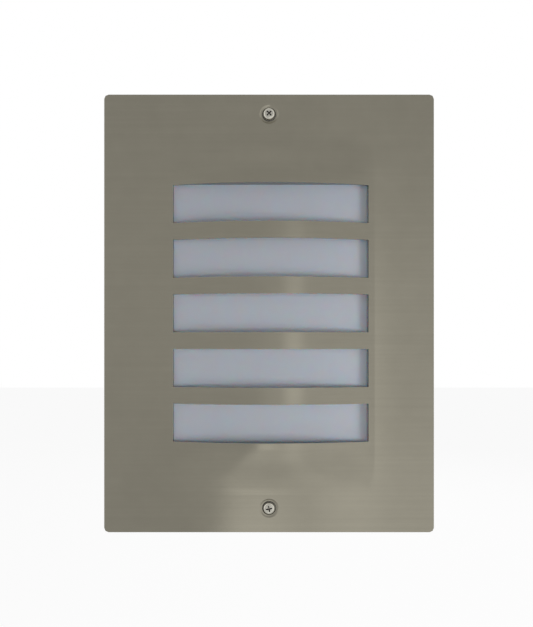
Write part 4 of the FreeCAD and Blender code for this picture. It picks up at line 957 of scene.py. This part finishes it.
studio = {
    "floor": -0.42, "floorSize": 9.0, "floorNear": -0.30, "floorColour": (0.94, 0.94, 0.94),
    "floorDarker": 0.985, "floorClouds": {"Scale": 1.5, "Amount": 0.4}, "floorRough": 0.9,
    "floorWhite": 0.92, "ambient": 0.32,
    "keyPower": 4.2, "keyPlace": (0.62, -0.38, -0.15), "keySize": 0.25,
    "fillPower": 0.74, "fillPlace": (0.03, -0.45, -0.06), "fillSize": 0.22,
    "backPower": 8.0, "backPlace": (0.4, 1.1, 0.7), "backSize": 1.0,
}


def makeFloor():
    # a flat sheet that ends a little in front of the plate, so the steel mirrors the room below it
    size, near = studio["floorSize"] / 2, studio["floorNear"]
    points = [[-size, near, 0], [size, near, 0], [size, size, 0], [-size, size, 0]]
    mesh = bpy.data.meshes.new("floor")
    mesh.from_pydata((np.array(points) + [0, 0, studio["floor"]]).tolist(), [], [[0, 1, 2, 3]])
    floor = bpy.data.objects.new("floor", mesh)
    bpy.context.scene.collection.objects.link(floor)
    material = bpy.data.materials.new("floor")
    material.use_nodes = True
    tree = material.node_tree
    shader = tree.nodes["Principled BSDF"]
    shader.inputs["Roughness"].default_value = studio["floorRough"]
    paper = newNode(tree, "ShaderNodeTexCoord").outputs["Object"]
    clouds = placeGroup(tree, "smudge", paper, **studio["floorClouds"])
    colour = studio["floorColour"]
    darker = tuple(part * studio["floorDarker"] for part in colour)
    mixed = mixColour(tree, clouds["Mask"], colour, darker)
    join(tree, (mixed, shader.inputs["Base Color"]))
    # camera, gloss and transmission see a share of plain white
    seen = newNode(tree, "ShaderNodeLightPath").outputs
    either = plus(tree, seen["Is Camera Ray"], seen["Is Glossy Ray"])
    either = plus(tree, either, seen["Is Transmission Ray"], clamp=True)
    white = newNode(tree, "ShaderNodeEmission", {"Color": (1, 1, 1, 1), "Strength": 1.0})
    blend = newNode(tree, "ShaderNodeMixShader")
    sources = times(tree, either, studio["floorWhite"]), shader.outputs[0], white.outputs[0]
    join(tree, *zip(sources, blend.inputs))
    join(tree, (blend.outputs[0], tree.nodes["Material Output"].inputs["Surface"]))
    layOut(tree)
    mesh.materials.append(material)


def ramp(tree, value, low, high, fromValue=0.0, toValue=1.0):
    # a smooth step, 3v^2 - 2v^3, from fromValue at low to toValue at high
    node = newNode(tree, "ShaderNodeMapRange", interpolation_type="SMOOTHSTEP")
    labels = ("From Min", "From Max", "To Min", "To Max")
    for label, number in zip(labels, (low, high, fromValue, toValue)):
        node.inputs[label].default_value = number
    join(tree, (value, node.inputs["Value"]))
    return node.outputs["Result"]


# the room in front, as the steel mirrors it, by how far across and up a ray goes for each metre
# forward. Each light has its strength and what that is multiplied by: smooth rises from 0, or from
# a third number, to 1 between two places. The leaned way is across, less a lean that grows lower
cardEdge = ("leaned", -0.105, -0.065)
room = {
    "plain": 0.85, "lean": (-0.40, -0.95, 0.0, -0.10), "nearest": 0.02, "behind": (-0.25, 0.1),
    "wide": 1.5, "wideFrom": (0.92, 1.30), "wideFlat": 0.52,
    "lights": (
        (-0.075, ("up", 0.18, 0.36)),
        (-0.07, ("up", -0.42, -0.34), ("up", -0.12, -0.22)),
        (0.18, ("up", 0.50, -0.06), ("up", -0.42, -0.36), ("across", -0.16, 0.23)),
        (0.29, cardEdge, ("up", -0.12, -0.26)),
        (0.72, cardEdge, ("across", 0.09, -0.03), ("up", -0.47, -0.39), ("up", -0.295, -0.345)),
        (0.34, ("across", 0.070, 0.125), ("across", 0.240, 0.180), ("up", 0.36, -0.04),
         ("up", -0.34, -0.16, 0.12 / 0.34)),
    ),
}


def blendFloat(tree, factor, first, second):
    # the first where the factor is 0, the second where it is 1; each is a socket or a number
    node = newNode(tree, "ShaderNodeMix", data_type="FLOAT")
    for number, value in ((0, factor), (2, first), (3, second)):
        fill(tree, node.inputs[number], value)
    return node.outputs[0]


def makeWorld():
    # gloss towards the front sees the plain room plus its lights. Rays far from straight ahead see
    # white, as in a tent round the camera, by the root of the across squared plus the flattened up
    # squared, and so do rays towards the back. Soft light is the ambient value
    world = bpy.data.worlds.new("studio")
    bpy.context.scene.world = world
    world.use_nodes = True
    tree = world.node_tree
    apart = newNode(tree, "ShaderNodeSeparateXYZ")
    way = newNode(tree, "ShaderNodeTexCoord").outputs["Generated"]
    join(tree, (way, apart.inputs[0]))
    forward = math2(tree, "MAXIMUM", times(tree, apart.outputs["Y"], -1.0), room["nearest"])
    across = math2(tree, "DIVIDE", apart.outputs["X"], forward)
    up = math2(tree, "DIVIDE", apart.outputs["Z"], forward)
    leaned = math2(tree, "SUBTRACT", across, ramp(tree, up, *room["lean"]))
    ways = {"across": across, "up": up, "leaned": leaned}
    level = room["plain"]
    for strength, *rises in room["lights"]:
        light = strength
        for name, *ends in rises:
            light = times(tree, light, ramp(tree, ways[name], *ends))
        level = plus(tree, level, light)
    flatter = times(tree, up, room["wideFlat"])
    squares = plus(tree, times(tree, across, across), times(tree, flatter, flatter))
    reach = math2(tree, "SQRT", squares, 0.0)
    level = blendFloat(tree, ramp(tree, reach, *room["wideFrom"]), level, room["wide"])
    level = blendFloat(tree, ramp(tree, apart.outputs["Y"], *room["behind"]), level, 1.0)
    seen = newNode(tree, "ShaderNodeLightPath").outputs
    level = blendFloat(tree, seen["Is Glossy Ray"], studio["ambient"], level)
    direct = plus(tree, seen["Is Camera Ray"], seen["Is Transmission Ray"], clamp=True)
    background = tree.nodes["Background"]
    background.inputs["Color"].default_value = (1, 1, 1, 1)
    join(tree, (blendFloat(tree, direct, level, 1.0), background.inputs["Strength"]))
    layOut(tree)


def makeLamps():
    # square lights that face the origin, which neither gloss nor the camera sees
    for name in ("key", "fill", "back"):
        light = bpy.data.lights.new(name, "AREA")
        light.energy, light.size = studio[f"{name}Power"], studio[f"{name}Size"]
        panel, place = bpy.data.objects.new(name, light), Vector(studio[f"{name}Place"])
        bpy.context.scene.collection.objects.link(panel)
        panel.location = place
        panel.rotation_euler = (-place).to_track_quat("-Z", "Y").to_euler()
        panel.visible_glossy = panel.visible_camera = False


makeFloor()
makeWorld()
makeLamps()
print("studio made")

# camera: level, a little under the plate's middle, with the lens shifted up to frame the plate

view = {
    "distance": 364.0, "height": -21.0, "pixel": 0.6855, "frameHigh": 627.0, "frameWide": 533.0,
    "plateAcross": 269.05, "plateDown": 313.4, "sensor": 36.0, "clip": (0.01, 50),
}


def makeCamera():
    # the lens is the distance over a pixel's size, times the sensor over the frame's height; the
    # shifts are what the plate's middle is off the frame's, over the frame's height
    lens = bpy.data.cameras.new("camera")
    camera = bpy.data.objects.new("camera", lens)
    bpy.context.scene.collection.objects.link(camera)
    front = boxOf("front_plate")[0][1] + plate["rise"]
    camera.location = (0, (front - view["distance"]) * mm, view["height"] * mm)
    camera.rotation_euler = (math.pi / 2, 0, 0)
    lens.sensor_width = view["sensor"]
    lens.lens = view["distance"] / view["pixel"] * view["sensor"] / view["frameHigh"]
    down = view["plateDown"] - view["height"] / view["pixel"]
    lens.shift_y = (down - view["frameHigh"] / 2) / view["frameHigh"]
    lens.shift_x = (view["frameWide"] / 2 - view["plateAcross"]) / view["frameHigh"]
    lens.clip_start, lens.clip_end = view["clip"]
    bpy.context.scene.camera = camera


makeCamera()
bpy.context.scene.view_settings.view_transform = "Standard"

print("scene made")
